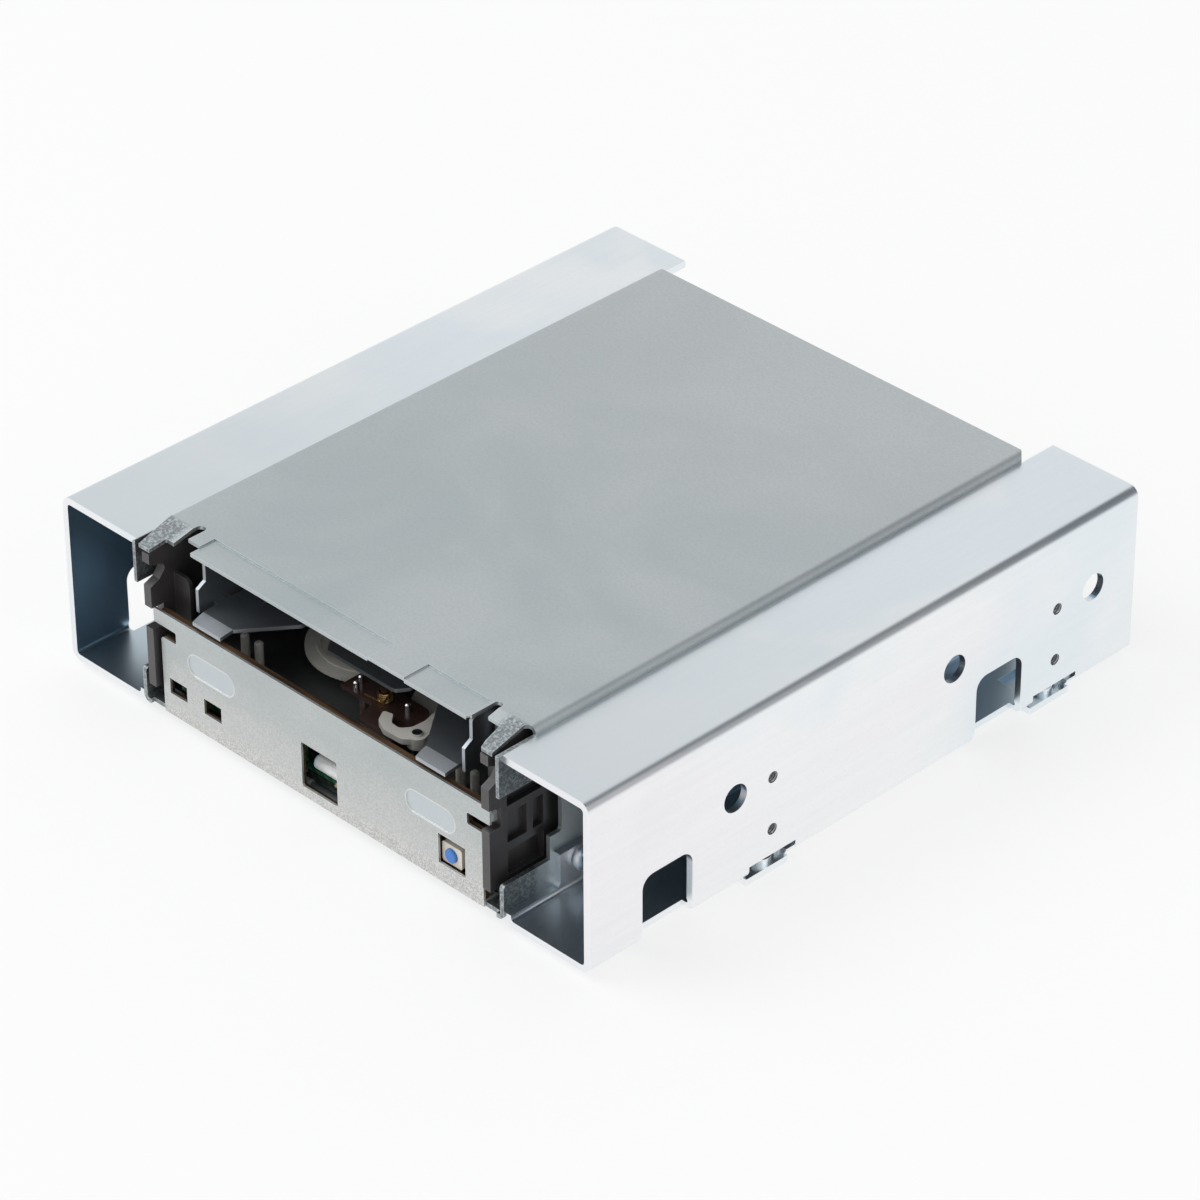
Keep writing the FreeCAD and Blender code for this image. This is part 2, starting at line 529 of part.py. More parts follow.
def top_cover():
    path = [(HALF_DRIVE, SKIRT_BOTTOM), (HALF_DRIVE, DRIVE_TOP), (-HALF_DRIVE, DRIVE_TOP),
            (-HALF_DRIVE, SKIRT_BOTTOM)]
    shell = slab("xz", bent_strip(path, COVER_SHEET, BRACKET_BEND), (SKIRT_FRONT, COVER_REAR))
    above = DRIVE_TOP - COVER_SHEET - 0.6, DRIVE_TOP + 1
    ahead = SKIRT_FRONT - 1
    half = HALF_DRIVE
    notch_bottom = DRIVE_TOP - TONGUE_DROP
    left, right = 13.0 - half, half - 12.2
    # the middle stands back from the skirts, and the tongues are freed by slots at both of their sides
    tools = [slab("xy", [(7.4 - half, ahead), (7.4 - half, 10.0, 0.9), (9.5 - half, 10.0, 0.9),
                         (9.5 - half, 5.0), (left, 5.0, 0.4), (left, COVER_FRONT, 0.4), (right, COVER_FRONT),
                         (right + 0.4, COVER_FRONT + 0.6), (right + 1.0, COVER_FRONT + 0.6),
                         (right + 1.0, 9.6, 0.9), (right + 2.8, 9.6, 0.9), (right + 3.0, 5.3),
                         (right + 6.2, 5.3, 0.5), (right + 6.2, ahead)], above),
             slab("xy", [(-half - 1, ahead), (-half - 1, 8.8), (0.7 - half, 8.8, 0.4), (0.7 - half, ahead)],
                  (notch_bottom, DRIVE_TOP + 1)),
             slab("xy", [(half - 2.35, ahead), (half - 2.35, 8.4, 1.6), (half + 1, 8.4), (half + 1, ahead)],
                  (notch_bottom, DRIVE_TOP + 1)),
             box((0.6 - half, 7.5 - half), (ahead, TONGUE_ROOT), above),
             box((half - 9.5, half - 2.3), (ahead, TONGUE_ROOT), above)]
    strips = ((left, STRIP_GAP_X[0]), (STRIP_GAP_X[1], right))
    for x0, x1 in strips:
        tools.append(box((x0, x1 + 0.4), (COVER_FRONT - 1, STRIP_REAR),
                         (DRIVE_TOP - STRIP_STEP, DRIVE_TOP + 1)))
    shell = shell.cut(tools)
    lower = DRIVE_TOP - STRIP_STEP
    extras = [box(x, (COVER_FRONT + 0.001, STRIP_REAR + 0.4), (lower - COVER_SHEET, lower)) for x in strips]
    slope = [(TONGUE_ROOT + 0.4, DRIVE_TOP - COVER_SHEET), (TONGUE_ROOT, DRIVE_TOP - COVER_SHEET),
             (TONGUE_TIP, DRIVE_TOP - TONGUE_DROP - COVER_SHEET), (TONGUE_TIP, DRIVE_TOP - TONGUE_DROP),
             (TONGUE_ROOT, DRIVE_TOP), (TONGUE_ROOT + 0.4, DRIVE_TOP)]
    left_plan = [(1.8 - half, ahead), (0.7 - half, TONGUE_ROOT + 1), (7.4 - half, TONGUE_ROOT + 1),
                 (7.4 - half, 3.1), (5.2 - half, 3.1, 0.3), (4.6 - half, ahead)]
    right_plan = [(half - 4.2, ahead), (half - 5.2, 0.6), (half - 5.9, 5.3, 0.4), (half - 9.3, 5.3),
                  (half - 9.4, TONGUE_ROOT + 1), (half - 2.35, TONGUE_ROOT + 1), (half - 1.8, ahead)]
    for plan in (left_plan, right_plan):
        area = slab("xy", plan, (DRIVE_TOP - 4, DRIVE_TOP + 1))
        extras.append(slab("yz", slope, (-half - 1, half + 1)).common(area))
    shell = shell.fuse(extras)
    corners = [slab("xy", [(side * (HALF_DRIVE + 1), COVER_REAR + 1),
                           (side * (HALF_DRIVE + 1), COVER_REAR - 2.2),
                           (side * (HALF_DRIVE - 2.2), COVER_REAR + 1)], (SKIRT_BOTTOM + 4, DRIVE_TOP + 1))
               for side in SIDES]
    holes = [rod(SMALL_SCREW_R + 0.2, (side * (half - 6), y, COVER_SCREW_Z), 8, RIGHT * side)
             for side in SIDES for y in COVER_SCREWS_Y]
    return shell.cut(corners + holes).removeSplitter()


# ---------------------------------------------------------------- front plate and front board
def plate_outline(top):
    """The front plate seen from the front: ears above two side notches."""
    half = PLATE_HALF_WIDTH
    ear = half + 2
    left, right = 4.4 - half, half - 4.1
    return [(-half, DRIVE_BOTTOM), (-half, 19.6, 0.8), (left, 19.6, 0.4), (left, 22.2, 0.4), (-ear, 22.2),
            (-ear, top), (ear, top), (ear, 21.7), (right, 21.7, 0.4), (right, 19.1, 0.4), (half, 19.1, 0.4),
            (half, DRIVE_BOTTOM)]


def plate_windows(margin, limits):
    """The openings through the plate; the backing's are wider by margin."""
    m = margin
    windows = [box((x - 2.5 - m, x + 2.5 + m), limits, (LIGHT_Z - 1.0 - m, LIGHT_Z + 2.5 + m))
               for x in LIGHTS_X]
    windows.append(slab("xz", [(-5.0 - m, 4.4 - m, 0.4), (5.0 + m, 4.4 - m, 0.4), (5.0 + m, 14.6 + m, 0.4),
                               (-5.0 - m, 14.6 + m, 0.4)], limits))
    windows.append(box((BUTTON_X - 2.65 - m, BUTTON_X + 4.65 + m), limits,
                       (BUTTON_Z - 2.3 - m, BUTTON_Z + 4.4 + m)))
    return windows


def front_plate():
    sheet = slab("xz", plate_outline(PLATE_TOP), (0, PLATE_SHEET))
    sunk = []
    for x, z in ((-30.6, 17.2), (30.9, 16.75)):
        pad = [(x - 6.6, z - 2.5, 2.2), (x + 6.6, z - 2.5, 2.2), (x + 6.6, z + 2.5, 2.2),
               (x - 6.6, z + 2.5, 2.2)]
        sunk.append(slab("xz", pad, (-1, 0.2)))
    hooks = [box((side * (PLATE_HALF_WIDTH + 2 - PLATE_SHEET), side * (PLATE_HALF_WIDTH + 2)),
                 (0, 1.9), (22.3, PLATE_TOP - 1.2)) for side in SIDES]
    foot = box((-PLATE_HALF_WIDTH, PLATE_HALF_WIDTH), (0, PLATE_SCREW_Y + 3),
               (TRAY_FLOOR, TRAY_FLOOR + PLATE_SHEET))
    reliefs = [box((x - 6, x + 6), (PLATE_SHEET + 0.001, 40), (TRAY_FLOOR - 1, TRAY_FLOOR + 2))
               for x in (-24, 24, 0)]
    pins = [rod(SMALL_SCREW_R + 0.2, (x, PLATE_SCREW_Y, TRAY_FLOOR - 1), 3) for x in PLATE_SCREWS_X]
    sheet = sheet.fuse(hooks + [foot.cut(reliefs)])
    return sheet.cut(sunk + pins + plate_windows(0, (-1, PLATE_SHEET))).removeSplitter()


def front_backing():
    corners = plate_outline(PLATE_TOP)
    low = TRAY_FLOOR + PLATE_SHEET
    kept = box((-PLATE_HALF_WIDTH, PLATE_HALF_WIDTH), (PLATE_SHEET, BACKING_REAR), (low, PLATE_TOP + 0.3))
    ear, top = PLATE_HALF_WIDTH + 2, PLATE_TOP + 0.3
    sheet = slab("xz", corners[:5] + [(-ear, top), (ear, top)] + corners[7:], (PLATE_SHEET, BACKING_REAR))
    return sheet.common(kept).cut(plate_windows(0.5, (0, 3))).removeSplitter()


def front_board():
    """Upright board that carries the lights and the switch; it stands on the main board."""
    half = PLATE_HALF_WIDTH - 1.0
    sheet = box((-half, half), (BOARD_FRONT, BOARD_FRONT + BOARD_SHEET), (MAIN_BOARD_TOP, UPRIGHT_BOARD_TOP))
    window = box((-8.5, 6), (0, 9), (MAIN_BOARD_TOP + CAPACITOR_LIFT - 0.1, UPRIGHT_BOARD_TOP + 1))
    return sheet.cut(window)


def eject_switch_body():
    shell = box((BUTTON_X - SWITCH_WIDTH / 2, BUTTON_X + SWITCH_WIDTH / 2),
                (BOARD_FRONT - 2.6, BOARD_FRONT),
                (BUTTON_Z - SWITCH_HEIGHT / 2, BUTTON_Z + SWITCH_HEIGHT / 2))
    upright = [e for e in shell.Edges if abs(e.tangentAt(e.FirstParameter).y) > 0.9]
    shell = shell.makeFillet(0.45, upright)
    well = rod(BUTTON_R + 0.06, (BUTTON_X, BOARD_FRONT - 3, BUTTON_Z), 3 - 0.6, BACK)
    return shell.cut(well)


def eject_button():
    front = PLATE_SHEET - 0.15
    back = BOARD_FRONT - 0.6 - BUTTON_TRAVEL - 0.1
    button = rod(BUTTON_R, (BUTTON_X, front, BUTTON_Z), back - front, BACK)
    rim = [e for e in button.Edges if abs(e.BoundBox.Center.y - front) < 1e-6]
    return button.makeChamfer(0.2, rim)


def status_lights():
    """Small square-bodied lights soldered to the upright board."""
    lights = []
    for x in LIGHTS_X:
        body = box((x - 1.0, x + 1.0), (BOARD_FRONT - LIGHT_DEPTH, BOARD_FRONT),
                   (LIGHT_Z - 0.6, LIGHT_Z + 0.6))
        lights.append(body.makeChamfer(0.25, [e for e in body.Edges
                                              if e.BoundBox.Center.y < BOARD_FRONT - LIGHT_DEPTH + 0.01]))
    return group(lights)


# ---------------------------------------------------------------- side blocks
def right_side_block():
    """Moulded corner block: an outer wall with ribbed pockets and a flange that faces the front."""
    top = DRIVE_TOP - COVER_SHEET - AIR
    profile = [(BLOCK_FRONT, BLOCK_BOTTOM), (BLOCK_FRONT, 21.1), (1.9, 21.1), (1.9, 25.9),
               (BLOCK_FRONT, 25.9),
               (BLOCK_FRONT, top - 9.4), (1.2, top - 8.4), (3.4, top - 5.7, 1.2), (BLOCK_FRONT, top - 4.1),
               (BLOCK_FRONT, top - TONGUE_DROP), (TONGUE_ROOT, top), (BLOCK_REAR, top),
               (BLOCK_REAR, BLOCK_BOTTOM)]
    wall = slab("yz", profile, (BLOCK_INNER, BLOCK_OUTER))
    pockets = [((3.4, 12.6), (9.2, 14.9)), ((3.4, 8.4), (16.6, 23.2)), ((3.4, 12.6), (24.8, 28.8)),
               ((9.9, 12.6), (16.6, 23.2))]
    depth = BLOCK_OUTER - 0.6 - BLOCK_INNER
    tools = [box((BLOCK_OUTER - depth, BLOCK_OUTER + 1), y, z) for y, z in pockets]
    edge = BLOCK_INNER - 4.45
    flange = slab("xz", [(edge, 16.4), (edge, top - 8.5, 1.5), (BLOCK_INNER, top - 8.5), (BLOCK_INNER, 16.4)],
                  (4.9, 5.7))
    floor = box((BLOCK_INNER - 1.6, BLOCK_INNER), (4.9, BLOCK_REAR), (16.4, 17.6))
    pegs = [rod(1.0, (BLOCK_OUTER, BLOCK_REAR - 1.2, z), TRAY_INNER - BLOCK_OUTER, RIGHT)
            for z in (11.5, 25.0)]
    return fuse(wall.cut(tools), flange, floor, *pegs)


# ---------------------------------------------------------------- cassette holder and carriage
def cassette_holder():
    half = HOLDER_HALF_WIDTH
    top = HOLDER_FLOOR + HOLDER_SHEET
    rear = HUB_OPENING_REAR + 4.0
    lane = (REELS_X[1] - SPINDLE_R - 0.6, REELS_X[1] + SPINDLE_R + 0.6)
    right_edge = [(9.4, 11.2, 1.2), (lane[0], 13.8, 1.2), (lane[0], HUB_OPENING_REAR, 3.0),
                  (lane[1], HUB_OPENING_REAR, 3.0), (lane[1], 13.6, 1.2), (26.9, 3.0), (half - 1.9, 3.0),
                  (half - 1.6, 7.0), (half, 7.0)]
    left_edge = [(-corner[0], *corner[1:]) for corner in right_edge[::-1]]
    floor = slab("xy", left_edge + right_edge + [(half, rear), (-half, rear)], (HOLDER_FLOOR, top))
    openings = []
    for side in SIDES:
        openings.append(box((side * (half - 1.6), side * (half - 0.5)), (10.6, 15.0),
                            (HOLDER_FLOOR - 1, top + 1)))
        openings.append(rod(0.8, (side * 29.6, 14.0, HOLDER_FLOOR - 1), 3))
    lips = []
    for side in SIDES:
        slope = [(3.0, HOLDER_FLOOR), (3.0, top), (0.0, top - 0.7), (0.0, HOLDER_FLOOR - 0.7)]
        area = slab("xy", [(side * 27.4, -0.5), (side * 26.9, 3.2), (side * (half - 1.9), 3.2),
                           (side * (half - 2.3), -0.5)], (HOLDER_FLOOR - 2, top + 1))
        lips.append(slab("yz", slope, (-half, half)).common(area))
    side_profile = [(3.0, HOLDER_FLOOR), (3.0, HOLDER_TOP - 7.1), (5.0, HOLDER_TOP - 5.9),
                    (5.0, HOLDER_TOP - 1.7, 0.8), (8.0, HOLDER_TOP),
                    (rear, HOLDER_TOP), (rear, HOLDER_FLOOR)]
    walls, pins = [], []
    for side in SIDES:
        walls.append(slab("yz", side_profile, (side * (half - HOLDER_SHEET), side * half)))
        for y in HOLDER_PINS_Y:
            length = CARRIAGE_OUTER + 0.3 - half
            pins.append(rod(HOLDER_PIN_R, (side * half, y, HOLDER_PIN_Z), length, RIGHT * side))
    bridge = box((-half, half), (14.0, rear), (HOLDER_TOP - HOLDER_SHEET, HOLDER_TOP))
    relief = slab("xy", [(-24, 20, 2), (24, 20, 2), (24, rear - 6, 2), (-24, rear - 6, 2)],
                  (HOLDER_TOP - 2, HOLDER_TOP + 1))
    return fuse(floor.cut(openings), bridge.cut(relief), *(walls + lips + pins))


def holder_carriage():
    """Two side plates joined by a rear bridge; the left plate ends in the loading rack."""
    front = CARRIAGE_PINS_Y[0] - 6
    rear = CARRIAGE_PINS_Y[1] + 6
    low = DECK_TOP + 1.6
    profile = [(front, low + 4, 2), (front, CARRIAGE_TOP, 2), (rear, CARRIAGE_TOP), (rear, low),
               (front + 6, low)]
    plates, pins, slots = [], [], []
    outer = CARRIAGE_OUTER
    for side in SIDES:
        plates.append(slab("yz", profile, (side * CARRIAGE_INNER, side * outer)))
        for y in CARRIAGE_PINS_Y:
            length = FRAME_OUTER + 0.6 - outer
            pins.append(rod(CARRIAGE_PIN_R, (side * outer, y, CARRIAGE_PIN_Z), length, RIGHT * side))
    for y in HOLDER_PINS_Y:
        slots.append(slot("yz", (y, HOLDER_PIN_Z), (y, HOLDER_PIN_Z - DROP_TRAVEL), HOLDER_PIN_R + 0.08,
                          (-outer - 1, outer + 1)))
    bridge = box((-outer, outer), (rear - 6, rear), (CARRIAGE_TOP - CARRIAGE_SHEET, CARRIAGE_TOP))
    return fuse(*(plates + [bridge, loading_rack()] + pins)).cut(slots).removeSplitter()


def loading_rack():
    """Bar with teeth towards the cam gear, long enough to stay in mesh over the whole travel."""
    z = (RACK_BOTTOM, RACK_BOTTOM + RACK_HEIGHT)
    pitch = pi * GEAR_MODULE
    line_x = CAM_X - GEAR_MODULE * CAM_TEETH / 2
    root_x, tip_x = line_x - RACK_ROOT_DEPTH, line_x + 0.8 * GEAR_MODULE
    front = CAM_Y - LOAD_TRAVEL - 4.5
    rear = CAM_Y + 4.5
    outer = -CARRIAGE_OUTER
    bar = box((outer, root_x), (front, rear), z)
    tail = box((outer, -CARRIAGE_INNER), (CARRIAGE_PINS_Y[1], rear), (z[0], z[1] + 3.4))
    teeth = []
    first = int(-(LOAD_TRAVEL + 3) / pitch)
    for number in range(first, 2):
        # the gear has a tooth facing the rack at rest, so the rack has a gap there
        y = CAM_Y + (number + 0.5) * pitch
        half_root = pitch / 4 - BACKLASH / 2 + RACK_ROOT_DEPTH * tan(radians(20))
        half_tip = pitch / 4 - BACKLASH / 2 - 0.8 * GEAR_MODULE * tan(radians(20))
        teeth.append(slab("xy", [(root_x - 0.2, y - half_root), (root_x, y - half_root),
                                 (tip_x, y - half_tip), (tip_x, y + half_tip),
                                 (root_x, y + half_root), (root_x - 0.2, y + half_root)], z))
    return fuse(bar, tail, *teeth)


def right_side_frame():
    """Guide plate on the deck; the carriage's pins run in its two slots."""
    front = CARRIAGE_PINS_Y[0] - 5
    rear = CARRIAGE_PINS_Y[1] + LOAD_TRAVEL + 6
    profile = [(front, DECK_TOP), (front, CARRIAGE_PIN_Z + 4, 2), (front + 12, FRAME_TOP, 2),
               (rear, FRAME_TOP, 3),
               (rear, DECK_TOP)]
    outer = FRAME_OUTER
    plate = slab("yz", profile, (FRAME_INNER, outer))
    tools = [slot("yz", (y, CARRIAGE_PIN_Z), (y + LOAD_TRAVEL, CARRIAGE_PIN_Z), CARRIAGE_PIN_R + 0.08,
                  (FRAME_INNER - 1, outer + 1)) for y in CARRIAGE_PINS_Y]
    feet = [box((FRAME_INNER, FRAME_INNER + 3.2), (y - 4, y + 4), (DECK_TOP, DECK_TOP + FRAME_SHEET))
            for y in (front + 22, rear - 12)]
    return fuse(plate, *feet).cut(tools)


# ---------------------------------------------------------------- mechanism deck
def track_slot(track, radius):
    return slot("xy", track[0], track[1], radius, (DECK_BOTTOM - 1, DECK_TOP + 1))


def mechanism_deck():
    half = DECK_HALF_WIDTH
    plan = [(-half, DECK_FRONT, 2), (half, DECK_FRONT, 2)]
    for y, way in ((MOUNTS_Y[0], 1), (MOUNTS_Y[1], 1)):
        plan += [(half, y - 4.6), (half + 4.6, y - 4.6, 2), (half + 4.6, y + 4.6, 2), (half, y + 4.6)]
    plan += [(half, DECK_REAR, 3), (-half, DECK_REAR, 3)]
    for y in MOUNTS_Y[::-1]:
        plan += [(-half, y + 4.6), (-half - 4.6, y + 4.6, 2), (-half - 4.6, y - 4.6, 2), (-half, y - 4.6)]
    sheet = slab("xy", plan, (DECK_BOTTOM, DECK_TOP))
    holes = [rod(MOUNT_SCREW_R + 0.3, (side * MOUNT_X, y, DECK_BOTTOM - 1), 4)
             for side in SIDES for y in MOUNTS_Y]
    holes.append(rod(DRUM_MOTOR_R + 1.6, (DRUM_X, DRUM_Y, DECK_BOTTOM - 1), 4))
    holes.append(rod(CAPSTAN_HOUSING_R + FIT, (CAPSTAN_X, CAPSTAN_Y, DECK_BOTTOM - 1), 4))
    holes.append(rod(REEL_MOTOR_BOSS_R + FIT, (0, REEL_MOTOR_Y, DECK_BOTTOM - 1), 4))
    holes += [track_slot(track, TRACK_HALF_WIDTH) for track in (LEFT_TRACK, RIGHT_TRACK)]
    holes += [rod(REEL_PIN_R + FIT, (x, y, DECK_BOTTOM - 1), 4) for x, y, _ in PIVOT_PINS]
    return sheet.cut(holes).removeSplitter()


def pivot_pins():
    """Headed pins riveted into the deck: one each for the reels, cam gear, arms and lever."""
    pins = []
    for x, y, top in PIVOT_PINS:
        pin = rod(REEL_PIN_R, (x, y, DECK_BOTTOM - 0.6), top - DECK_BOTTOM + 0.6)
        foot = rod(REEL_PIN_R + 0.8, (x, y, DECK_BOTTOM - 0.6), 0.6)
        pins.append(fuse(pin, foot))
    return group(pins)


def guide_posts():
    """Fixed chrome posts that steer the tape beside the drum."""
    posts = []
    for x, y in GUIDE_POSTS:
        post = rod(0.9, (x, y, DECK_TOP), POST_TOP - DECK_TOP)
        collars = [rod(1.2, (x, y, z), 0.8) for z in (DECK_TOP + 8.0, POST_TOP - 0.8)]
        posts.append(fuse(post, *collars))
    return group(posts)


def front_bridge_plate():
    """Dark plate over the front of the reels, on two posts, with an edge turned up at its left."""
    z = BRIDGE_PLATE_Z
    sheet = slab("xy", [(-5.8, 11.2), (-5.8, 17.2), (12.6, 17.2, 2), (15.6, 13.0, 1), (15.6, 6.0, 1.5),
                        (4.6, 6.0, 1),
                        (3.2, 11.2, 1)], (z - 0.9, z))
    posts = [rod(1.3, (x, y, DECK_TOP), z - 0.9 - DECK_TOP) for x, y in ((-0.2, 12.6), (13.2, 7.8))]
    post = rod(SPRING_R - 0.45, (*SPRING_POST, z - 0.1), 2.6)
    return fuse(sheet, post, *posts).cut([rod(0.6 + FIT, (x, y, z - 2), 3) for x, y in SENSOR_PINS])


def sensor_pins():
    """Round-topped pins that feel the cassette's identification holes."""
    pins = []
    for x, y in SENSOR_PINS:
        pin = rod(0.6, (x, y, BRIDGE_PLATE_Z - 0.9), 2.6)
        ridge = [e for e in pin.Edges if e.BoundBox.Center.z > BRIDGE_PLATE_Z + 1.6]
        pins.append(pin.makeChamfer(0.25, ridge))
    return group(pins)


def stop_pegs():
    """Four pale pegs on the deck that the holder's lips come to rest on."""
    pegs = []
    for x in (-32.2, -28.2, 28.2, 32.2):
        peg = rod(0.9, (x, 10.3, DECK_TOP), 5.4)
        pegs.append(peg.makeChamfer(0.4, [e for e in peg.Edges if e.BoundBox.Center.z > DECK_TOP + 5.3]))
    return group(pegs)


# ---------------------------------------------------------------- reels and their drive
def reel_table(x):
    z = DECK_TOP + 0.8
    body = rod(REEL_RIM_R, (x, REEL_Y, z), 1.6)
    flange = rod(REEL_FLANGE_R, (x, REEL_Y, z + 1.6), 1.0)
    ring = tube(REEL_FLANGE_R - 2.2, REEL_FLANGE_R - 3.0, (x, REEL_Y, z + 2.6), 0.3)
    hub = rod(REEL_HUB_R, (x, REEL_Y, z + 2.6), 3.2)
    spindle = rod(SPINDLE_R - 0.9, (x, REEL_Y, z + 5.8), SPINDLE_TOP - z - 5.8)
    ridge = [e for e in spindle.Edges if e.BoundBox.Center.z > SPINDLE_TOP - 0.1]
    spindle = spindle.makeChamfer(0.5, ridge)
    vanes = []
    for index in range(3):
        vane = box((x, x + SPINDLE_R), (REEL_Y - 0.5, REEL_Y + 0.5), (z + 5.8, SPINDLE_TOP - 0.9))
        vane.rotate(V(x, REEL_Y, 0), UP, 120 * index)
        vanes.append(vane)
    bore = rod(REEL_PIN_R + RUNNING, (x, REEL_Y, z - 1), REEL_PIN_TOP - z + 1.2)
    return fuse(body, flange, ring, hub, spindle, *vanes).cut(bore)


def reel_motor():
    body = rod(7.5, (0, REEL_MOTOR_Y, DECK_BOTTOM - 5.6), 5.6)
    boss = rod(REEL_MOTOR_BOSS_R, (0, REEL_MOTOR_Y, DECK_BOTTOM), IDLER_Z - 0.1 - DECK_BOTTOM)
    bore = rod(REEL_PIN_R + RUNNING, (0, REEL_MOTOR_Y, DECK_BOTTOM - 4), 9)
    return fuse(body, boss).cut(bore)


def reel_pulley():
    """Drive pulley on the reel motor's shaft."""
    shaft = rod(REEL_PIN_R, (0, REEL_MOTOR_Y, DECK_BOTTOM - 3.8),
                IDLER_Z + IDLER_WIDTH + 0.6 - DECK_BOTTOM + 3.8)
    wheel = rod(REEL_PULLEY_R, (0, REEL_MOTOR_Y, IDLER_Z), IDLER_WIDTH)
    return fuse(shaft, wheel)


def idler_arm():
    z = (IDLER_Z - ARM_SHEET - 0.12, IDLER_Z - 0.12)
    y0, y1 = REEL_MOTOR_Y, IDLER_Y
    bar = slot("xy", (0, y0), (0, y1), 1.7, z)
    collar = rod(REEL_MOTOR_BOSS_R + 1.0, (0, y0, z[0]), ARM_SHEET)
    bore = rod(REEL_MOTOR_BOSS_R + RUNNING, (0, y0, z[0] - 1), 3)
    pin = rod(REEL_PIN_R, (0, y1, z[0]), IDLER_Z + IDLER_WIDTH + 0.1 - z[0])
    return fuse(bar, collar).cut(bore).fuse(pin).removeSplitter()


def idler_wheel():
    wheel = rod(IDLER_R - TYRE, (0, IDLER_Y, IDLER_Z), IDLER_WIDTH)
    return wheel.cut(rod(REEL_PIN_R + RUNNING, (0, IDLER_Y, IDLER_Z - 1), 4))


def idler_tyre():
    return tube(IDLER_R, IDLER_R - TYRE, (0, IDLER_Y, IDLER_Z), IDLER_WIDTH)


# ---------------------------------------------------------------- head drum
def tilted(shape):
    """Lean a piece built on the drum's own axis back to the drum's place and tilt."""
    shape = shape.copy()
    shape.rotate(V(0, 0, 0), RIGHT, DRUM_TILT)
    shape.translate(V(DRUM_X, DRUM_Y, DRUM_Z))
    return shape


def drum_base():
    """Cast foot: flat below, leaning on top, hollow for the motor."""
    low = DECK_TOP - DRUM_Z
    foot = slab("xy", [(-16.5, -10, 2), (16.5, -10, 2), (16.5, 15.5, 3), (-16.5, 15.5, 3)],
                (DECK_TOP, DRUM_Z - 5))
    foot.translate(V(DRUM_X, DRUM_Y, 0))
    lean = tilted(box((-30, 30), (-30, 30), (-LOWER_DRUM_HEIGHT - 20, -LOWER_DRUM_HEIGHT)))
    hollow = tilted(rod(DRUM_MOTOR_R + 1.0, (0, 0, low - 20), 60))
    return foot.common(lean).cut(hollow)


def lower_drum():
    body = rod(DRUM_R, (0, 0, -LOWER_DRUM_HEIGHT), LOWER_DRUM_HEIGHT)
    ledge = tube(DRUM_R + 0.02, DRUM_R - 0.25, (0, 0, -2.4), 1.0)
    bore = rod(DRUM_SHAFT_R + RUNNING, (0, 0, -LOWER_DRUM_HEIGHT - 1), LOWER_DRUM_HEIGHT + 2)
    return tilted(body.cut([ledge, bore]))


def upper_drum():
    body = rod(DRUM_R, (0, 0, SLIDING), UPPER_DRUM_HEIGHT)
    recess = tube(DRUM_R - 3, DRUM_SHAFT_R + 3, (0, 0, SLIDING + UPPER_DRUM_HEIGHT - 2), 3)
    bore = rod(DRUM_SHAFT_R + FIT, (0, 0, -1), UPPER_DRUM_HEIGHT + 3)
    windows = [box((DRUM_R - 0.6, DRUM_R + 1), (-1.2, 1.2), (SLIDING, SLIDING + 1.0)) for _ in range(2)]
    windows[1].rotate(V(0, 0, 0), UP, 180)
    return tilted(body.cut([recess, bore] + windows))


def drum_shaft():
    return tilted(rod(DRUM_SHAFT_R, (0, 0, -LOWER_DRUM_HEIGHT - 6.5),
                      LOWER_DRUM_HEIGHT + 6.5 + UPPER_DRUM_HEIGHT))


def drum_motor_rotor():
    top = -LOWER_DRUM_HEIGHT - 0.8
    disc = rod(DRUM_MOTOR_R, (0, 0, top - 4.6), 4.6)
    cup = tube(DRUM_MOTOR_R - 1.5, DRUM_SHAFT_R + 2.2, (0, 0, top - 3.2), 4)
    bore = rod(DRUM_SHAFT_R + FIT, (0, 0, top - 6), 8)
    return tilted(disc.cut([cup, bore]))


# ---------------------------------------------------------------- capstan and pinch roller
def capstan_housing():
    outer = rod(CAPSTAN_HOUSING_R, (CAPSTAN_X, CAPSTAN_Y, DECK_BOTTOM - 1), DECK_SHEET + 6)
    collar = rod(CAPSTAN_HOUSING_R + 0.8, (CAPSTAN_X, CAPSTAN_Y, DECK_BOTTOM - 1), 1.0)
    bore = rod(CAPSTAN_R + RUNNING, (CAPSTAN_X, CAPSTAN_Y, DECK_BOTTOM - 2), 14)
    return fuse(outer, collar).cut(bore)


def capstan_shaft():
    return rod(CAPSTAN_R, (CAPSTAN_X, CAPSTAN_Y, FLYWHEEL_Z), POST_TOP - FLYWHEEL_Z)


def capstan_flywheel():
    wheel = rod(FLYWHEEL_R, (CAPSTAN_X, CAPSTAN_Y, FLYWHEEL_Z), 2.6)
    groove = tube(FLYWHEEL_R - 1.5, CAPSTAN_R + 2.0, (CAPSTAN_X, CAPSTAN_Y, FLYWHEEL_Z + 1.6), 2)
    return wheel.cut([groove, rod(CAPSTAN_R + FIT, (CAPSTAN_X, CAPSTAN_Y, FLYWHEEL_Z - 1), 5)])


def pinch_arm():
    z = DECK_TOP + 2.6
    bar = slot("xy", PINCH_PIVOT, PINCH_REST, 1.9, (z, z + 1.8))
    hub = rod(2.8, (*PINCH_PIVOT, DECK_TOP + 0.4), 6.0)
    bore = rod(REEL_PIN_R + RUNNING, (*PINCH_PIVOT, DECK_TOP), 9)
    pin = rod(0.9, (*PINCH_REST, z), POST_TOP - z)
    return fuse(bar, hub, pin).cut(bore)


def pinch_roller():
    return tube(PINCH_ROLLER_R, 0.9 + RUNNING, (*PINCH_REST, DECK_TOP + 6.2), 9.2)


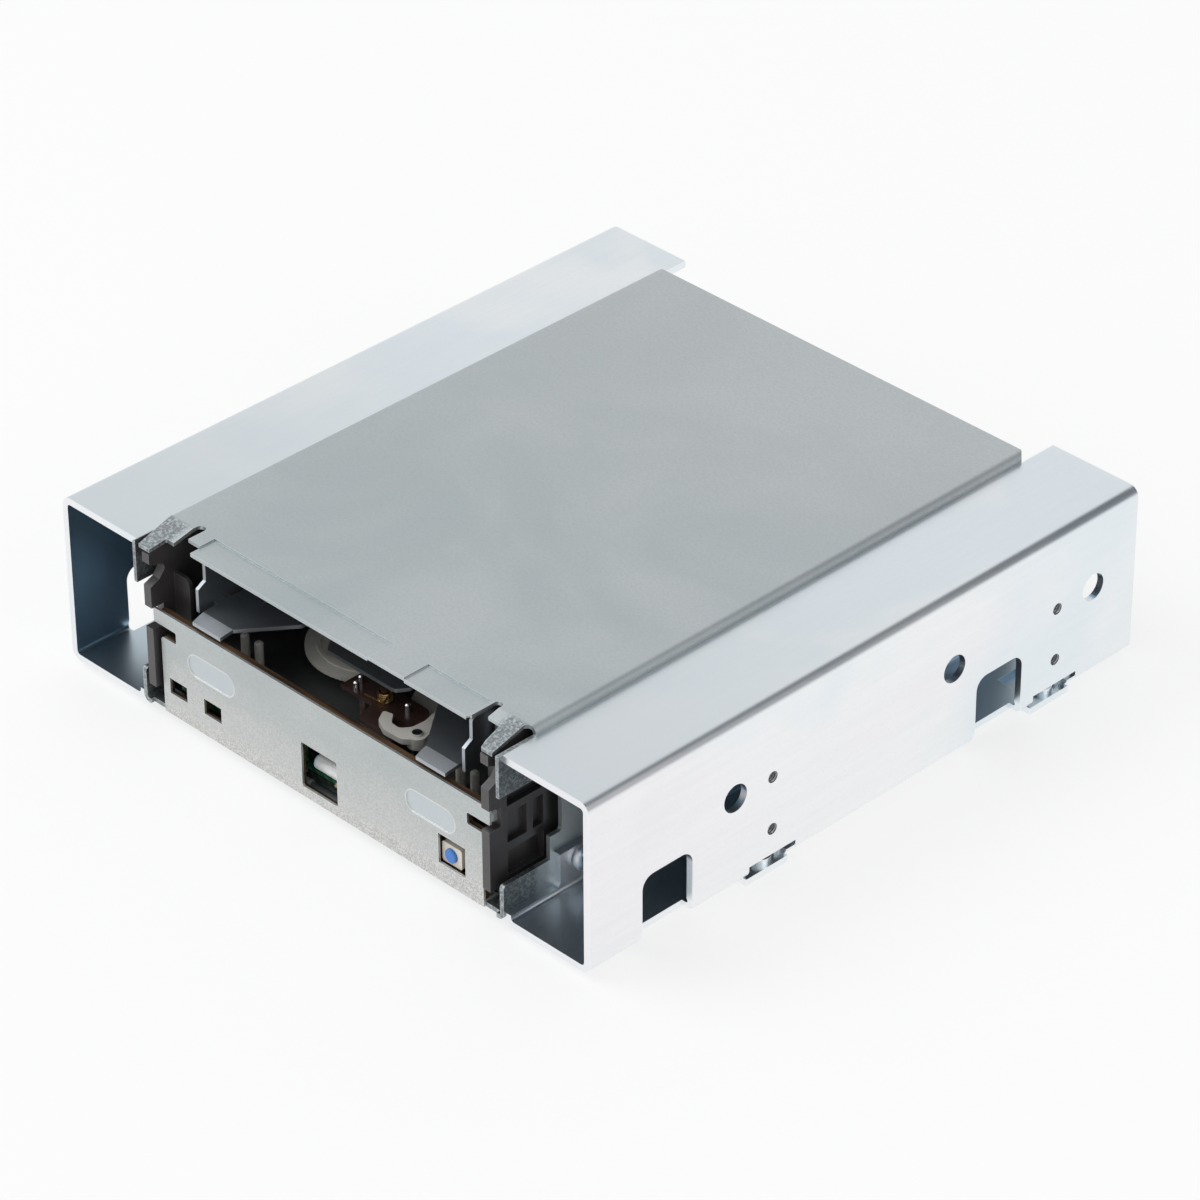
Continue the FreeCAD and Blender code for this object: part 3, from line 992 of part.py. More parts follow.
# ---------------------------------------------------------------- tape guides
def guide_slider(track):
    """Slide block on its slot in the deck, with a leaning pin beside the guide's axle."""
    x, y = track[0]
    body = box((x - 2.5, x + 2.5), (y - 3, y + 3), (DECK_TOP + 0.15, DECK_TOP + 3.2))
    body = body.makeFillet(0.8, [e for e in body.Edges if abs(e.tangentAt(e.FirstParameter).z) > 0.9])
    neck = rod(TRACK_HALF_WIDTH - 0.08, (x, y, DECK_BOTTOM - 0.4), DECK_SHEET + 1.0)
    foot = rod(TRACK_HALF_WIDTH + 1.0, (x, y, DECK_BOTTOM - 1.2), 0.9)
    axle = rod(0.8, (x, y + 0.6, DECK_TOP + 3), POST_TOP - DECK_TOP - 3)
    pin = rod(0.6, (x, y - 1.9, DECK_TOP + 2.6), POST_TOP - DECK_TOP - 4, V(0, -0.08, 1))
    return fuse(body, neck, foot, axle, pin)


def guide_roller(track):
    x, y = track[0]
    z = DECK_TOP + 3.5
    roller = rod(GUIDE_ROLLER_R, (x, y + 0.6, z), 12.6)
    waist = tube(GUIDE_ROLLER_R + 1, GUIDE_ROLLER_R - 0.5, (x, y + 0.6, z + 3.0), 6.2)
    return roller.cut([waist, rod(0.8 + RUNNING, (x, y + 0.6, z - 1), 16)])


def tension_arm():
    z = (DECK_TOP + 0.5, DECK_TOP + 1.7)
    bar = slot("xy", TENSION_PIVOT, TENSION_POST, 1.5, z)
    hub = rod(2.6, (*TENSION_PIVOT, z[0]), 2.4)
    post = rod(0.8, (*TENSION_POST, z[0]), POST_TOP - z[0])
    return fuse(bar, hub, post).cut(rod(REEL_PIN_R + RUNNING, (*TENSION_PIVOT, DECK_TOP), 6))


def front_lever():
    """Pale curved lever above the bridge plate, on its own pin."""
    z = (BRIDGE_PLATE_Z + 0.5, BRIDGE_PLATE_Z + 1.7)
    plan = [(8.2, 9.4, 0.5), (9.8, 6.6, 2), (12.8, 5.2, 2), (17.6, 5.4, 2), (20.6, 8.4, 1.5), (19.0, 12.6, 3),
            (16.8, 16.4, 0.6), (15.4, 16.0, 0.6), (16.2, 12.6, 2), (16.0, 9.6, 1), (14.6, 7.6, 1.5),
            (12.2, 7.7, 1.5),
            (10.4, 9.9, 0.6)]
    hub = rod(2.0, (*LEVER_PIVOT, z[0] - 1.2), 2.4)
    bore = rod(REEL_PIN_R + RUNNING, (*LEVER_PIVOT, z[0] - 3), 8)
    return fuse(slab("xy", plan, z), hub).cut(bore)


def lever_spring():
    """Close turns of brass wire round the bridge plate's post, with two straight legs."""
    x, y = SPRING_POST
    inner = SPRING_R - SPRING_WIRE
    corners = [(inner, 0)]
    for turn in range(SPRING_TURNS):
        low = 2 * SPRING_WIRE * turn
        corners += [(SPRING_R, low), (SPRING_R + SPRING_WIRE, low + SPRING_WIRE),
                    (SPRING_R, low + 2 * SPRING_WIRE)]
    corners.append((inner, 2 * SPRING_WIRE * SPRING_TURNS))
    tidy = [corner for index, corner in enumerate(corners) if corner != corners[index - 1]]
    coil = Part.Face(outline("xz", tidy, 0)).revolve(V(0, 0, 0), UP, 360)
    coil.translate(V(x, y, BRIDGE_PLATE_Z + 0.02))
    legs = [rod(SPRING_WIRE, (x, y - SPRING_R, BRIDGE_PLATE_Z + SPRING_WIRE + 0.02), 4.2, V(-1, -0.1, 0)),
            rod(SPRING_WIRE,
                (x + SPRING_R, y, BRIDGE_PLATE_Z + SPRING_WIRE * (2 * SPRING_TURNS - 1) + 0.02), 3.6,
                V(0.5, -1, 0))]
    return fuse(coil, *legs)


# ---------------------------------------------------------------- loading drive
def cam_gear():
    """Gear that drives the rack, with the worm wheel above it in one moulding."""
    lower = gear(GEAR_MODULE, CAM_TEETH, (CAM_X, CAM_Y), (RACK_BOTTOM, RACK_BOTTOM + RACK_HEIGHT), 180.0)
    upper = gear(WHEEL_MODULE, WORM_WHEEL_TEETH, (CAM_X, CAM_Y), (WORM_Z - 1.5, WORM_Z + 1.5))
    neck = rod(6.0, (CAM_X, CAM_Y, RACK_BOTTOM), WORM_Z + 2.0 - RACK_BOTTOM)
    bore = rod(REEL_PIN_R + RUNNING, (CAM_X, CAM_Y, DECK_TOP), 12)
    track = slab("xy", [(CAM_X - 5, CAM_Y - 1.2, 1.1), (CAM_X + 5, CAM_Y - 3.2, 1.1),
                        (CAM_X + 5, CAM_Y - 5, 0.8),
                        (CAM_X - 5, CAM_Y - 4.6, 1.1)], (WORM_Z + 1.2, WORM_Z + 3))
    return fuse(lower, upper, neck).cut([bore, track])


def loading_worm():
    """Worm on the motor's shaft, its thread drawn as a row of ridges."""
    front, rear = CAM_Y - WORM_HALF_LENGTH, CAM_Y + WORM_HALF_LENGTH
    step = (rear - front) / WORM_TURNS
    corners = [(0, front)]
    for n in range(WORM_TURNS):
        y = front + n * step
        corners += [(WORM_R - 0.7, y), (WORM_R, y + step * 0.35), (WORM_R, y + step * 0.65),
                    (WORM_R - 0.7, y + step)]
    corners.append((0, rear))
    tidy = [c for i, c in enumerate(corners) if i == 0 or c != corners[i - 1]]
    face = Part.Face(outline("xy", tidy, 0))
    worm = face.revolve(V(0, 0, 0), BACK, 360)
    worm.translate(V(WORM_X, 0, WORM_Z))
    shaft = rod(0.8, (WORM_X, front - 1.8, WORM_Z), LOADING_MOTOR_FRONT + 3 - front + 1.8, BACK)
    return fuse(worm, shaft)


def loading_motor():
    z = WORM_Z
    can = rod(LOADING_MOTOR_R, (WORM_X, LOADING_MOTOR_FRONT, z), LOADING_MOTOR_LENGTH, BACK)
    can = can.makeChamfer(0.5, [e for e in can.Edges if e.BoundBox.Center.y > LOADING_MOTOR_FRONT + 10
                                and e.BoundBox.YLength < 0.1])
    foot = box((WORM_X - 4, WORM_X + 4), (LOADING_MOTOR_FRONT - 1.2, LOADING_MOTOR_FRONT),
               (DECK_TOP, z + 3.6))
    rear_foot = box((WORM_X - 4, WORM_X + 4), (LOADING_MOTOR_FRONT + 12, LOADING_MOTOR_FRONT + 14),
                    (DECK_TOP, z - 1))
    front_y = CAM_Y - WORM_HALF_LENGTH - 1.4
    bearing = box((WORM_X - 2, WORM_X + 2), (front_y, front_y + 1.2), (DECK_TOP, z + 1.8))
    bore = rod(0.8 + RUNNING, (WORM_X, CAM_Y - 20, z), LOADING_MOTOR_FRONT + 3.2 - CAM_Y + 20, BACK)
    bracket = box((WORM_X - 2, WORM_X + 2), (front_y, LOADING_MOTOR_FRONT), (DECK_TOP, DECK_TOP + 0.8))
    return fuse(can, foot, rear_foot, bearing, bracket).cut(bore)


# ---------------------------------------------------------------- boards, plugs and small parts
def main_circuit_board():
    half = TRAY_INNER - 2.6
    sheet = box((-half, half), (BOARD_FRONT - 0.4, TRAY_REAR - 3.2), (MAIN_BOARD_BOTTOM, MAIN_BOARD_TOP))
    holes = [rod(SMALL_SCREW_R + 0.3, (x, y, 0), 9) for x, y in BOARD_SCREWS]
    return sheet.cut(holes)


def board_chips():
    rear = TRAY_REAR - 28.5
    places = [(-30, 40, 14, 14), (-28, 83, 20, 20), (-20, rear, 14, 10), (12, rear, 12, 12), (32, 88, 12, 8),
              (34, 32, 10, 10), (4, 60, 10, 7)]
    chips = []
    for x, y, width, depth in places:
        chip = box((x - width / 2, x + width / 2), (y - depth / 2, y + depth / 2),
                   (MAIN_BOARD_TOP, MAIN_BOARD_TOP + 1.8))
        ridge = [e for e in chip.Edges if e.BoundBox.Center.z > MAIN_BOARD_TOP + 1.7]
        chips.append(chip.makeChamfer(0.25, ridge))
    return group(chips)


def board_capacitor():
    """Small round can lying in the upright board's gap, behind the front plate's middle window."""
    middle = (-5.6, BOARD_FRONT + 1.1, MAIN_BOARD_TOP + CAPACITOR_LIFT + CAPACITOR_R)
    can = rod(CAPACITOR_R, middle, 8.0, RIGHT)
    return can.makeChamfer(0.5, [e for e in can.Edges if e.BoundBox.XLength < 0.1])


def data_connector():
    x0, x1 = DATA_PLUG_X
    top = DATA_PLUG_TOP - SLIDING
    x0, x1 = x0 + SLIDING, x1 - SLIDING
    z = (MAIN_BOARD_TOP, top)
    rear = TRAY_REAR + 3.8
    shell = box((x0, x1), (rear - 15, rear), z)
    hollow = box((x0 + 2.4, x1 - 2.4), (rear - 8, rear + 1), (z[0] + 2.2, z[1] - 2.2))
    key = box(((x0 + x1) / 2 - 2.2, (x0 + x1) / 2 + 2.2), (rear - 7, rear + 1), (z[1] - 3, z[1] + 1))
    pins = [box((x - 0.32, x + 0.32), (rear - 8.5, rear - 1.6), (zz - 0.32, zz + 0.32))
            for x in [x0 + 5.5 + 2.54 * n for n in range(20)] for zz in (z[0] + 4.2, z[0] + 6.74)]
    return shell.cut([hollow, key]).fuse(pins)


def power_connector():
    x0, x1 = POWER_PLUG_X[0] + SLIDING, POWER_PLUG_X[1] - SLIDING
    z = (MAIN_BOARD_TOP, POWER_PLUG_TOP - SLIDING)
    rear = TRAY_REAR + 5.3
    shell = box((x0, x1), (rear - 14.5, rear), z)
    corners = [(x0 + 1.2, z[0] + 1.2), (x1 - 1.2, z[0] + 1.2), (x1 - 1.2, z[1] - 3.2), (x1 - 3.2, z[1] - 1.2),
               (x0 + 3.2, z[1] - 1.2), (x0 + 1.2, z[1] - 3.2)]
    hollow = slab("xz", corners, (rear - 10.5, rear + 1))
    middle = (z[0] + z[1]) / 2
    pins = [rod(1.05, ((x0 + x1) / 2 + 5.08 * (n - 1.5), rear - 11, middle), 9, BACK) for n in range(4)]
    return shell.cut(hollow).fuse(pins)


def shock_mounts():
    """Rubber grommets between the tray's shelves and the deck."""
    mounts = []
    for side in SIDES:
        for y in MOUNTS_Y:
            ring = tube(3.4, MOUNT_SCREW_R + 0.1, (side * MOUNT_X, y, SHELF_TOP), DECK_BOTTOM - SHELF_TOP)
            waist = tube(5, 2.7, (side * MOUNT_X, y, SHELF_TOP + 1.1), 1.0)
            mounts.append(ring.cut(waist))
    return group(mounts)


def mount_screws():
    length = DECK_TOP - SHELF_TOP + 1.0
    return group([pan_screw(MOUNT_SCREW_R, length, 2.5, 1.5, V(side * MOUNT_X, y, DECK_TOP), UP)
                  for side in SIDES for y in MOUNTS_Y])


def bracket_screws():
    seat = HALF_DRIVE + BRACKET_SHEET
    return group([pan_screw(SCREW_R, BRACKET_SHEET + TRAY_SHEET + 0.9, 2.7, 1.8,
                            V(side * seat, y, BRACKET_SCREW_Z), RIGHT * side)
                  for side in SIDES for y in BRACKET_SCREWS_Y])


def cover_screws():
    return group([pan_screw(SMALL_SCREW_R, COVER_SHEET + TRAY_SHEET + 0.6, 2.1, 1.0,
                            V(side * HALF_DRIVE, y, COVER_SCREW_Z), RIGHT * side)
                  for side in SIDES for y in COVER_SCREWS_Y])


def board_screws():
    return group([pan_screw(SMALL_SCREW_R, MAIN_BOARD_TOP - DRIVE_BOTTOM, 2.1, 1.3,
                            V(x, y, MAIN_BOARD_TOP), UP)
                  for x, y in BOARD_SCREWS])


def plate_screws():
    return group([pan_screw(SMALL_SCREW_R, TRAY_SHEET + PLATE_SHEET, 2.1, 0.8,
                            V(x, PLATE_SCREW_Y, DRIVE_BOTTOM), UP * -1) for x in PLATE_SCREWS_X])


# ---------------------------------------------------------------- every node and its piece
def nodes():
    bracket = right_bracket()
    block = right_side_block()
    frame = right_side_frame()
    return {
        "left_adapter_bracket": mirrored(bracket),
        "right_adapter_bracket": bracket,
        "bracket_screws": bracket_screws(),
        "chassis_tray": chassis_tray(),
        "top_cover": top_cover(),
        "cover_screws": cover_screws(),
        "front_plate": front_plate(),
        "front_backing": front_backing(),
        "plate_screws": plate_screws(),
        "front_circuit_board": front_board(),
        "eject_switch_body": eject_switch_body(),
        "eject_button": eject_button(),
        "status_lights": status_lights(),
        "left_side_block": mirrored(block),
        "right_side_block": block,
        "cassette_holder": cassette_holder(),
        "holder_carriage": holder_carriage(),
        "left_side_frame": mirrored(frame),
        "right_side_frame": frame,
        "mechanism_deck": mechanism_deck(),
        "pivot_pins": pivot_pins(),
        "guide_posts": guide_posts(),
        "front_bridge_plate": front_bridge_plate(),
        "sensor_pins": sensor_pins(),
        "stop_pegs": stop_pegs(),
        "supply_reel_table": reel_table(REELS_X[0]),
        "take_up_reel_table": reel_table(REELS_X[1]),
        "reel_motor": reel_motor(),
        "reel_pulley": reel_pulley(),
        "idler_arm": idler_arm(),
        "idler_wheel": idler_wheel(),
        "idler_tyre": idler_tyre(),
        "drum_base": drum_base(),
        "lower_drum": lower_drum(),
        "upper_drum": upper_drum(),
        "drum_shaft": drum_shaft(),
        "drum_motor_rotor": drum_motor_rotor(),
        "capstan_housing": capstan_housing(),
        "capstan_shaft": capstan_shaft(),
        "capstan_flywheel": capstan_flywheel(),
        "pinch_arm": pinch_arm(),
        "pinch_roller": pinch_roller(),
        "left_guide_slider": guide_slider(LEFT_TRACK),
        "left_guide_roller": guide_roller(LEFT_TRACK),
        "right_guide_slider": guide_slider(RIGHT_TRACK),
        "right_guide_roller": guide_roller(RIGHT_TRACK),
        "tension_arm": tension_arm(),
        "front_lever": front_lever(),
        "lever_spring": lever_spring(),
        "cam_gear": cam_gear(),
        "loading_worm": loading_worm(),
        "loading_motor": loading_motor(),
        "main_circuit_board": main_circuit_board(),
        "board_chips": board_chips(),
        "board_capacitor": board_capacitor(),
        "board_screws": board_screws(),
        "data_connector": data_connector(),
        "power_connector": power_connector(),
        "shock_mounts": shock_mounts(),
        "mount_screws": mount_screws(),
    }


os.makedirs("parts", exist_ok=True)
for name, shape in nodes().items():
    shape.translate(V(0, -CENTRE_Y, 0))
    shape.exportStep("parts/" + name + ".step")
    print(name, len(shape.Solids), "solids", round(shape.Volume), "mm3",
          "valid" if shape.isValid() else "INVALID")
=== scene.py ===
# %% [markdown]
# # A data tape drive between two bay adapter brackets
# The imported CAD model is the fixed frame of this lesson. It already has every piece at its real
# place and size, so most of the work here is finish: plated steel, satin sheet, black mouldings,
# laminate, circuit board. A few pieces are then made again with detail that a CAD solid can't carry.

# %% Load the frame
import json
import math
import bmesh
import bpy
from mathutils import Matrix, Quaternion, Vector


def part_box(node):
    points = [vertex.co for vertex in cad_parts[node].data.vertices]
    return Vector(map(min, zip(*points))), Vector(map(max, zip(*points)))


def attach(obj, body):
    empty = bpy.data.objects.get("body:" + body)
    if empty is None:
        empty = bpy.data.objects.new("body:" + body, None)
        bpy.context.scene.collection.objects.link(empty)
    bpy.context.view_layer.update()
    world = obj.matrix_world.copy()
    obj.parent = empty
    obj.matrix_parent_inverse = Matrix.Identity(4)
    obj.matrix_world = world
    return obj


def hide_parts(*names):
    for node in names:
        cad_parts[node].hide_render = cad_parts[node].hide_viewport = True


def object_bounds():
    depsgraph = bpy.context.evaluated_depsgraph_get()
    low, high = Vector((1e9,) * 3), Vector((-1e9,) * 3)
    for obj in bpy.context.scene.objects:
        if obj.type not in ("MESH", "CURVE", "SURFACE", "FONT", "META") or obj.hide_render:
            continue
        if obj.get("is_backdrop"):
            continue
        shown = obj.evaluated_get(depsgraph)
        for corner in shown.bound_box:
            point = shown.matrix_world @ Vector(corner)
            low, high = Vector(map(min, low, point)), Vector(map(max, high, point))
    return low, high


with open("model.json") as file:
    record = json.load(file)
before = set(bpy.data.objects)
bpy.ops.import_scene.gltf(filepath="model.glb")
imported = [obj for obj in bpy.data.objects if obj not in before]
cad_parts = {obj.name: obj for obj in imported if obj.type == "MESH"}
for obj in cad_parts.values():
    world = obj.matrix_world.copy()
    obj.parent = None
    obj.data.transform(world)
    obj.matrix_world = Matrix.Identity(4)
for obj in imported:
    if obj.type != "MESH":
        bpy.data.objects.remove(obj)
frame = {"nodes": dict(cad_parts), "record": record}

cad_low, cad_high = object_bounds()
print("the CAD model's box:", [round(v, 4) for v in (*cad_low, *cad_high)])

# %% [markdown]
# ## Writing a material as arithmetic
# A node tree is a sum of small steps, and steps read best as expressions. The class below wraps one
# output socket. Plus, minus and times each add a Math node, so `1 - mask` works as written. Colours
# and vectors take other nodes, because a Math node would turn a colour grey.


# %% A socket that can be calculated with
class Value:
    """One output socket of a material's node tree."""

    def __init__(self, finish, socket):
        self.finish = finish
        self.socket = socket

    def math(self, operation, first, second):
        return self.finish.node("ShaderNodeMath", {"operation": operation}, {0: first, 1: second})

    def __add__(self, other):
        return self.math("ADD", self, other)

    def __sub__(self, other):
        return self.math("SUBTRACT", self, other)

    def __mul__(self, other):
        return self.math("MULTIPLY", self, other)

    def __rsub__(self, other):
        return self.math("SUBTRACT", other, self)

    __radd__ = __add__
    __rmul__ = __mul__

    def __gt__(self, level):
        return self.math("GREATER_THAN", self, level)

    def up_to(self, level):
        return self.math("MINIMUM", self, level)

    def sign(self):
        return self.math("SIGN", self, 0.0)

    def step(self, low, high):
        """0 below low, 1 above high, smooth between."""
        return self.finish.node("ShaderNodeMapRange", {"interpolation_type": "SMOOTHSTEP"},
                                {"Value": self, "From Min": low, "From Max": high})


def add_node(tree, kind, settings=None, inputs=None):
    """A new node in a tree: its settings are set, and each input is set or linked."""
    made = tree.nodes.new(kind)
    for key, value in (settings or {}).items():
        setattr(made, key, value)
    for key, value in (inputs or {}).items():
        source = value.socket if isinstance(value, Value) else value
        if isinstance(source, bpy.types.NodeSocket):
            tree.links.new(source, made.inputs[key])
        else:
            made.inputs[key].default_value = source
    return made


print("sockets can be added, multiplied and cut at a level")

# %% [markdown]
# ## One class for all finishes
# A finish starts as a plain Principled material. Each method below adds one kind of node to it, and
# `feed` links the result to the shader. What is the same all over a piece stays a plain number.


# %% One finish: a material with a method for each kind of node
class Finish:
    """A material whose nodes are added by calls."""

    def __init__(self, name, **constants):
        self.material = bpy.data.materials.new(name)
        self.material.use_nodes = True
        self.tree = self.material.node_tree
        self.nodes = self.tree.nodes
        self.links = self.tree.links
        self.surface = self.nodes["Principled BSDF"]
        for socket, value in constants.items():
            self.surface.inputs[socket.replace("_", " ")].default_value = value

    def node(self, kind, settings=None, inputs=None, output=0):
        return Value(self, add_node(self.tree, kind, settings, inputs).outputs[output])

    def place(self, scale=(1, 1, 1)):
        """The point of the surface in metres, stretched by scale."""
        point = self.node("ShaderNodeTexCoord", output="Object")
        return self.node("ShaderNodeVectorMath", {"operation": "MULTIPLY"}, {0: point, 1: scale})

    def along(self, axis, point=None):
        """One coordinate of the point: 0, 1 or 2 for X, Y or Z."""
        return self.node("ShaderNodeSeparateXYZ", inputs={0: point or self.place()}, output=axis)

    def facing(self, axis):
        """How far the surface faces along an axis, from -1 to 1."""
        return self.along(axis, self.node("ShaderNodeNewGeometry", output="True Normal"))

    def noise(self, size, scale=(1, 1, 1), detail=2.0, roughness=0.5, distortion=0.0):
        """Cloudy noise whose lumps are about size metres across."""
        return self.node("ShaderNodeTexNoise", inputs={"Vector": self.place(scale), "Scale": 1 / size,
                         "Detail": detail, "Roughness": roughness, "Distortion": distortion})

    def cells(self, size):
        """Distance to the nearest of a scatter of points size metres apart."""
        return self.node("ShaderNodeTexVoronoi", inputs={"Vector": self.place(), "Scale": 1 / size})

    def blend(self, factor, first, second):
        """Colour between first and second."""
        first = first if isinstance(first, Value) else (*first, 1)
        second = second if isinstance(second, Value) else (*second, 1)
        return self.node("ShaderNodeMix", {"data_type": "RGBA"},
                         {"Factor": factor, 6: first, 7: second}, output=2)

    def edges(self, width):
        """1 on the sharp outer edges of a piece, 0 on its flat faces."""
        rounded = self.node("ShaderNodeBevel", {"samples": 4}, {"Radius": width})
        flat = self.node("ShaderNodeNewGeometry", output="Normal")
        turn = self.node("ShaderNodeVectorMath", {"operation": "DOT_PRODUCT"},
                         {0: rounded, 1: flat}, output=1)
        return (1 - turn).step(0.01, 0.2)

    def bump(self, height, distance, strength):
        """Fine relief: a height from 0 to 1 that stands for a distance in metres."""
        self.feed(Normal=self.node("ShaderNodeBump", inputs={"Height": height, "Distance": distance,
                                                             "Strength": strength}))

    def feed(self, **inputs):
        """Links values that change over the surface to the shader's own sockets."""
        for name, value in inputs.items():
            self.links.new(value.socket, self.surface.inputs[name.replace("_", " ")])


print("finishes are written with Value and Finish")

# %% [markdown]
# ## Camera
# The drive is seen from its front right corner and well above, through a long lens, so parallel
# edges stay almost parallel. The camera is aimed first and then rolled by the small amount that a
# tripod is off level.

# %% Camera
AIM = Vector((0.00768, -0.00726, 0.02125))
EYE = Vector((0.63917, -0.62502, 0.60996))
FOCAL_LENGTH = 163.94     # millimetres, on a sensor 36 wide
ROLL = math.radians(-0.302)
optics = bpy.data.cameras.new("camera")
optics.sensor_width = 36
optics.lens = FOCAL_LENGTH
optics.clip_start = 0.05
optics.clip_end = 50
camera = bpy.data.objects.new("camera", optics)
bpy.context.collection.objects.link(camera)
camera.location = EYE
camera.rotation_mode = "QUATERNION"
level = (AIM - EYE).to_track_quat("-Z", "Y")
camera.rotation_quaternion = level @ Quaternion((0, 0, 1), ROLL)
bpy.context.scene.camera = camera
print("camera stands", round((AIM - EYE).length, 3), "m from the drive")

# %% [markdown]
# ## Floor, room and lamps
# Bare metal shows the room it stands in, so the room matters more than the lamps. Here the floor and
# the walls are white, one part of the ceiling is darker, and two large soft lamps give the shapes a
# bright side. The floor shows itself nearly white to the camera but still takes the drive's shadow.

# %% Floor
FLOOR_HALF = 6
FLOOR_DROP = 0.0002       # below the drive, so the two never share a face
floor_finish = Finish("white_floor", Base_Color=(0.9, 0.9, 0.9, 1), Roughness=0.9, Specular_IOR_Level=0.1)
glow = floor_finish.nodes.new("ShaderNodeEmission")
glow.inputs["Strength"].default_value = 1.0
mixed = floor_finish.nodes.new("ShaderNodeMixShader")
seen = floor_finish.node("ShaderNodeLightPath", output="Is Camera Ray")
mirrored = floor_finish.node("ShaderNodeLightPath", output="Is Glossy Ray")
floor_finish.links.new((seen * 0.72 + mirrored * 0.90).up_to(1.0).socket, mixed.inputs[0])
floor_finish.links.new(floor_finish.surface.outputs[0], mixed.inputs[1])
floor_finish.links.new(glow.outputs[0], mixed.inputs[2])
floor_finish.links.new(mixed.outputs[0], floor_finish.nodes["Material Output"].inputs["Surface"])

sheet = bpy.data.meshes.new("floor")
corners = [(x * FLOOR_HALF, y * FLOOR_HALF, 0) for x, y in ((-1, -1), (1, -1), (1, 1), (-1, 1))]
sheet.from_pydata(corners, [], [(0, 1, 2, 3)])
floor = bpy.data.objects.new("floor", sheet)
bpy.context.collection.objects.link(floor)
floor.location.z = cad_low.z - FLOOR_DROP
floor.data.materials.append(floor_finish.material)
floor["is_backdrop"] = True
print("floor at", round(floor.location.z, 4))

# %% [markdown]
# The room is a world background. Its colour depends on the way that a ray leaves the drive: one
# soft patch, high up behind the drive's right, is dark, and the camera itself always sees plain white.

# %% Room
WALL_COLOUR = (0.84, 0.85, 0.86, 1)
PATCH_COLOUR = (0.10, 0.11, 0.125, 1)
PATCH_WAY = Vector((0.50, 0.60, 0.62)).normalized()
room = bpy.data.worlds.new("room")
bpy.context.scene.world = room
room.use_nodes = True
tree = room.node_tree
way = add_node(tree, "ShaderNodeTexCoord").outputs["Generated"]
nearness = add_node(tree, "ShaderNodeVectorMath", {"operation": "DOT_PRODUCT"}, {0: way, 1: PATCH_WAY})
patch = add_node(tree, "ShaderNodeMapRange", {"interpolation_type": "SMOOTHSTEP"},
                 {"Value": nearness.outputs["Value"], "From Min": 0.74, "From Max": 0.95})
walls = add_node(tree, "ShaderNodeMix", {"data_type": "RGBA"},
                 {"Factor": patch.outputs[0], 6: WALL_COLOUR, 7: PATCH_COLOUR})
path = add_node(tree, "ShaderNodeLightPath")
shown = add_node(tree, "ShaderNodeMix", {"data_type": "RGBA"},
                 {"Factor": path.outputs["Is Camera Ray"], 6: walls.outputs[2], 7: (1, 1, 1, 1)})
tree.links.new(shown.outputs[2], tree.nodes["Background"].inputs["Color"])


def soft_lamp(name, place, aim, size, power):
    """A large square lamp that looks at a point."""
    data = bpy.data.lights.new(name, "AREA")
    data.shape = "RECTANGLE"
    data.size, data.size_y = size
    data.energy = power
    lamp = bpy.data.objects.new(name, data)
    bpy.context.collection.objects.link(lamp)
    lamp.location = place
    lamp.rotation_mode = "QUATERNION"
    lamp.rotation_quaternion = (Vector(aim) - Vector(place)).to_track_quat("-Z", "Y")


soft_lamp("lamp_left", (-0.9, -0.7, 1.3), (0, 0, 0), (1.1, 1.1), 9)
soft_lamp("lamp_right", (1.2, 0.2, 1.0), (0, 0, 0.02), (0.9, 0.9), 4)
bpy.context.scene.view_settings.view_transform = "Standard"

# %% [markdown]
# ## Zinc-plated steel
# The two brackets are cold-rolled sheet with bright zinc. Outside, the plating is pale, with soft
# clouds of blue and rose where its film is thicker, a faint grain along the roll, and brighter cut
# edges, partly bare cut metal and partly a painted highlight. The tops are painted darker towards
# the front, a painted shade. Inside the channel the faces are painted a deep slate blue, as painted
# shade and painted reflection of the drive's dark side. Inside and outside are told apart by where a
# face looks: the channel's wall looks towards the drive, its floor looks up from low down and its
# roof looks down from high up.

# %% Zinc plate
PAINTED_SHADE_FRONT = (-0.075, 0.04)     # from full painted shade to none, along Y
OUTER_WALL = (0.060, 0.066)       # the outer wall lies beyond this, from the middle
CHANNEL_FLOOR = (0.0045, 0.006)   # the floor lies below this height
CHANNEL_ROOF = (0.030, 0.034)     # the roof lies above this height
zinc = Finish("zinc_plate", Metallic=1.0)
cloud = zinc.noise(0.045, detail=3, roughness=0.55, distortion=0.4)
second_cloud = zinc.noise(0.07, scale=(1, 0.4, 1), detail=2)
roll = zinc.noise(0.0011, scale=(1, 0.04, 1), detail=2)
grain = zinc.noise(0.00045, detail=2)
pits = 1 - zinc.cells(0.0021).step(0.03, 0.09)
pale = zinc.blend(cloud.step(0.38, 0.66), (0.80, 0.86, 0.895), (0.90, 0.915, 0.92))
rose = zinc.blend(second_cloud.step(0.50, 0.68) * 0.6, pale, (0.93, 0.87, 0.90))
worn = zinc.blend((roll * 0.5 + grain * 0.5).step(0.30, 0.75) * 0.22, rose, (0.72, 0.75, 0.78))
spotted = zinc.blend(pits * cloud.step(0.5, 0.7) * 0.35, worn, (0.55, 0.57, 0.58))
# Painted shade: the tops of the brackets are darkened towards the front.
front_top_painted_shade = (1 - zinc.along(1).step(*PAINTED_SHADE_FRONT)) * zinc.facing(2).step(0.7, 0.95)
tops_with_painted_shade = zinc.blend(front_top_painted_shade * 0.8, spotted, (0.66, 0.715, 0.745))
across, up = zinc.along(0), zinc.along(2)
outward = zinc.facing(0) * across.sign()
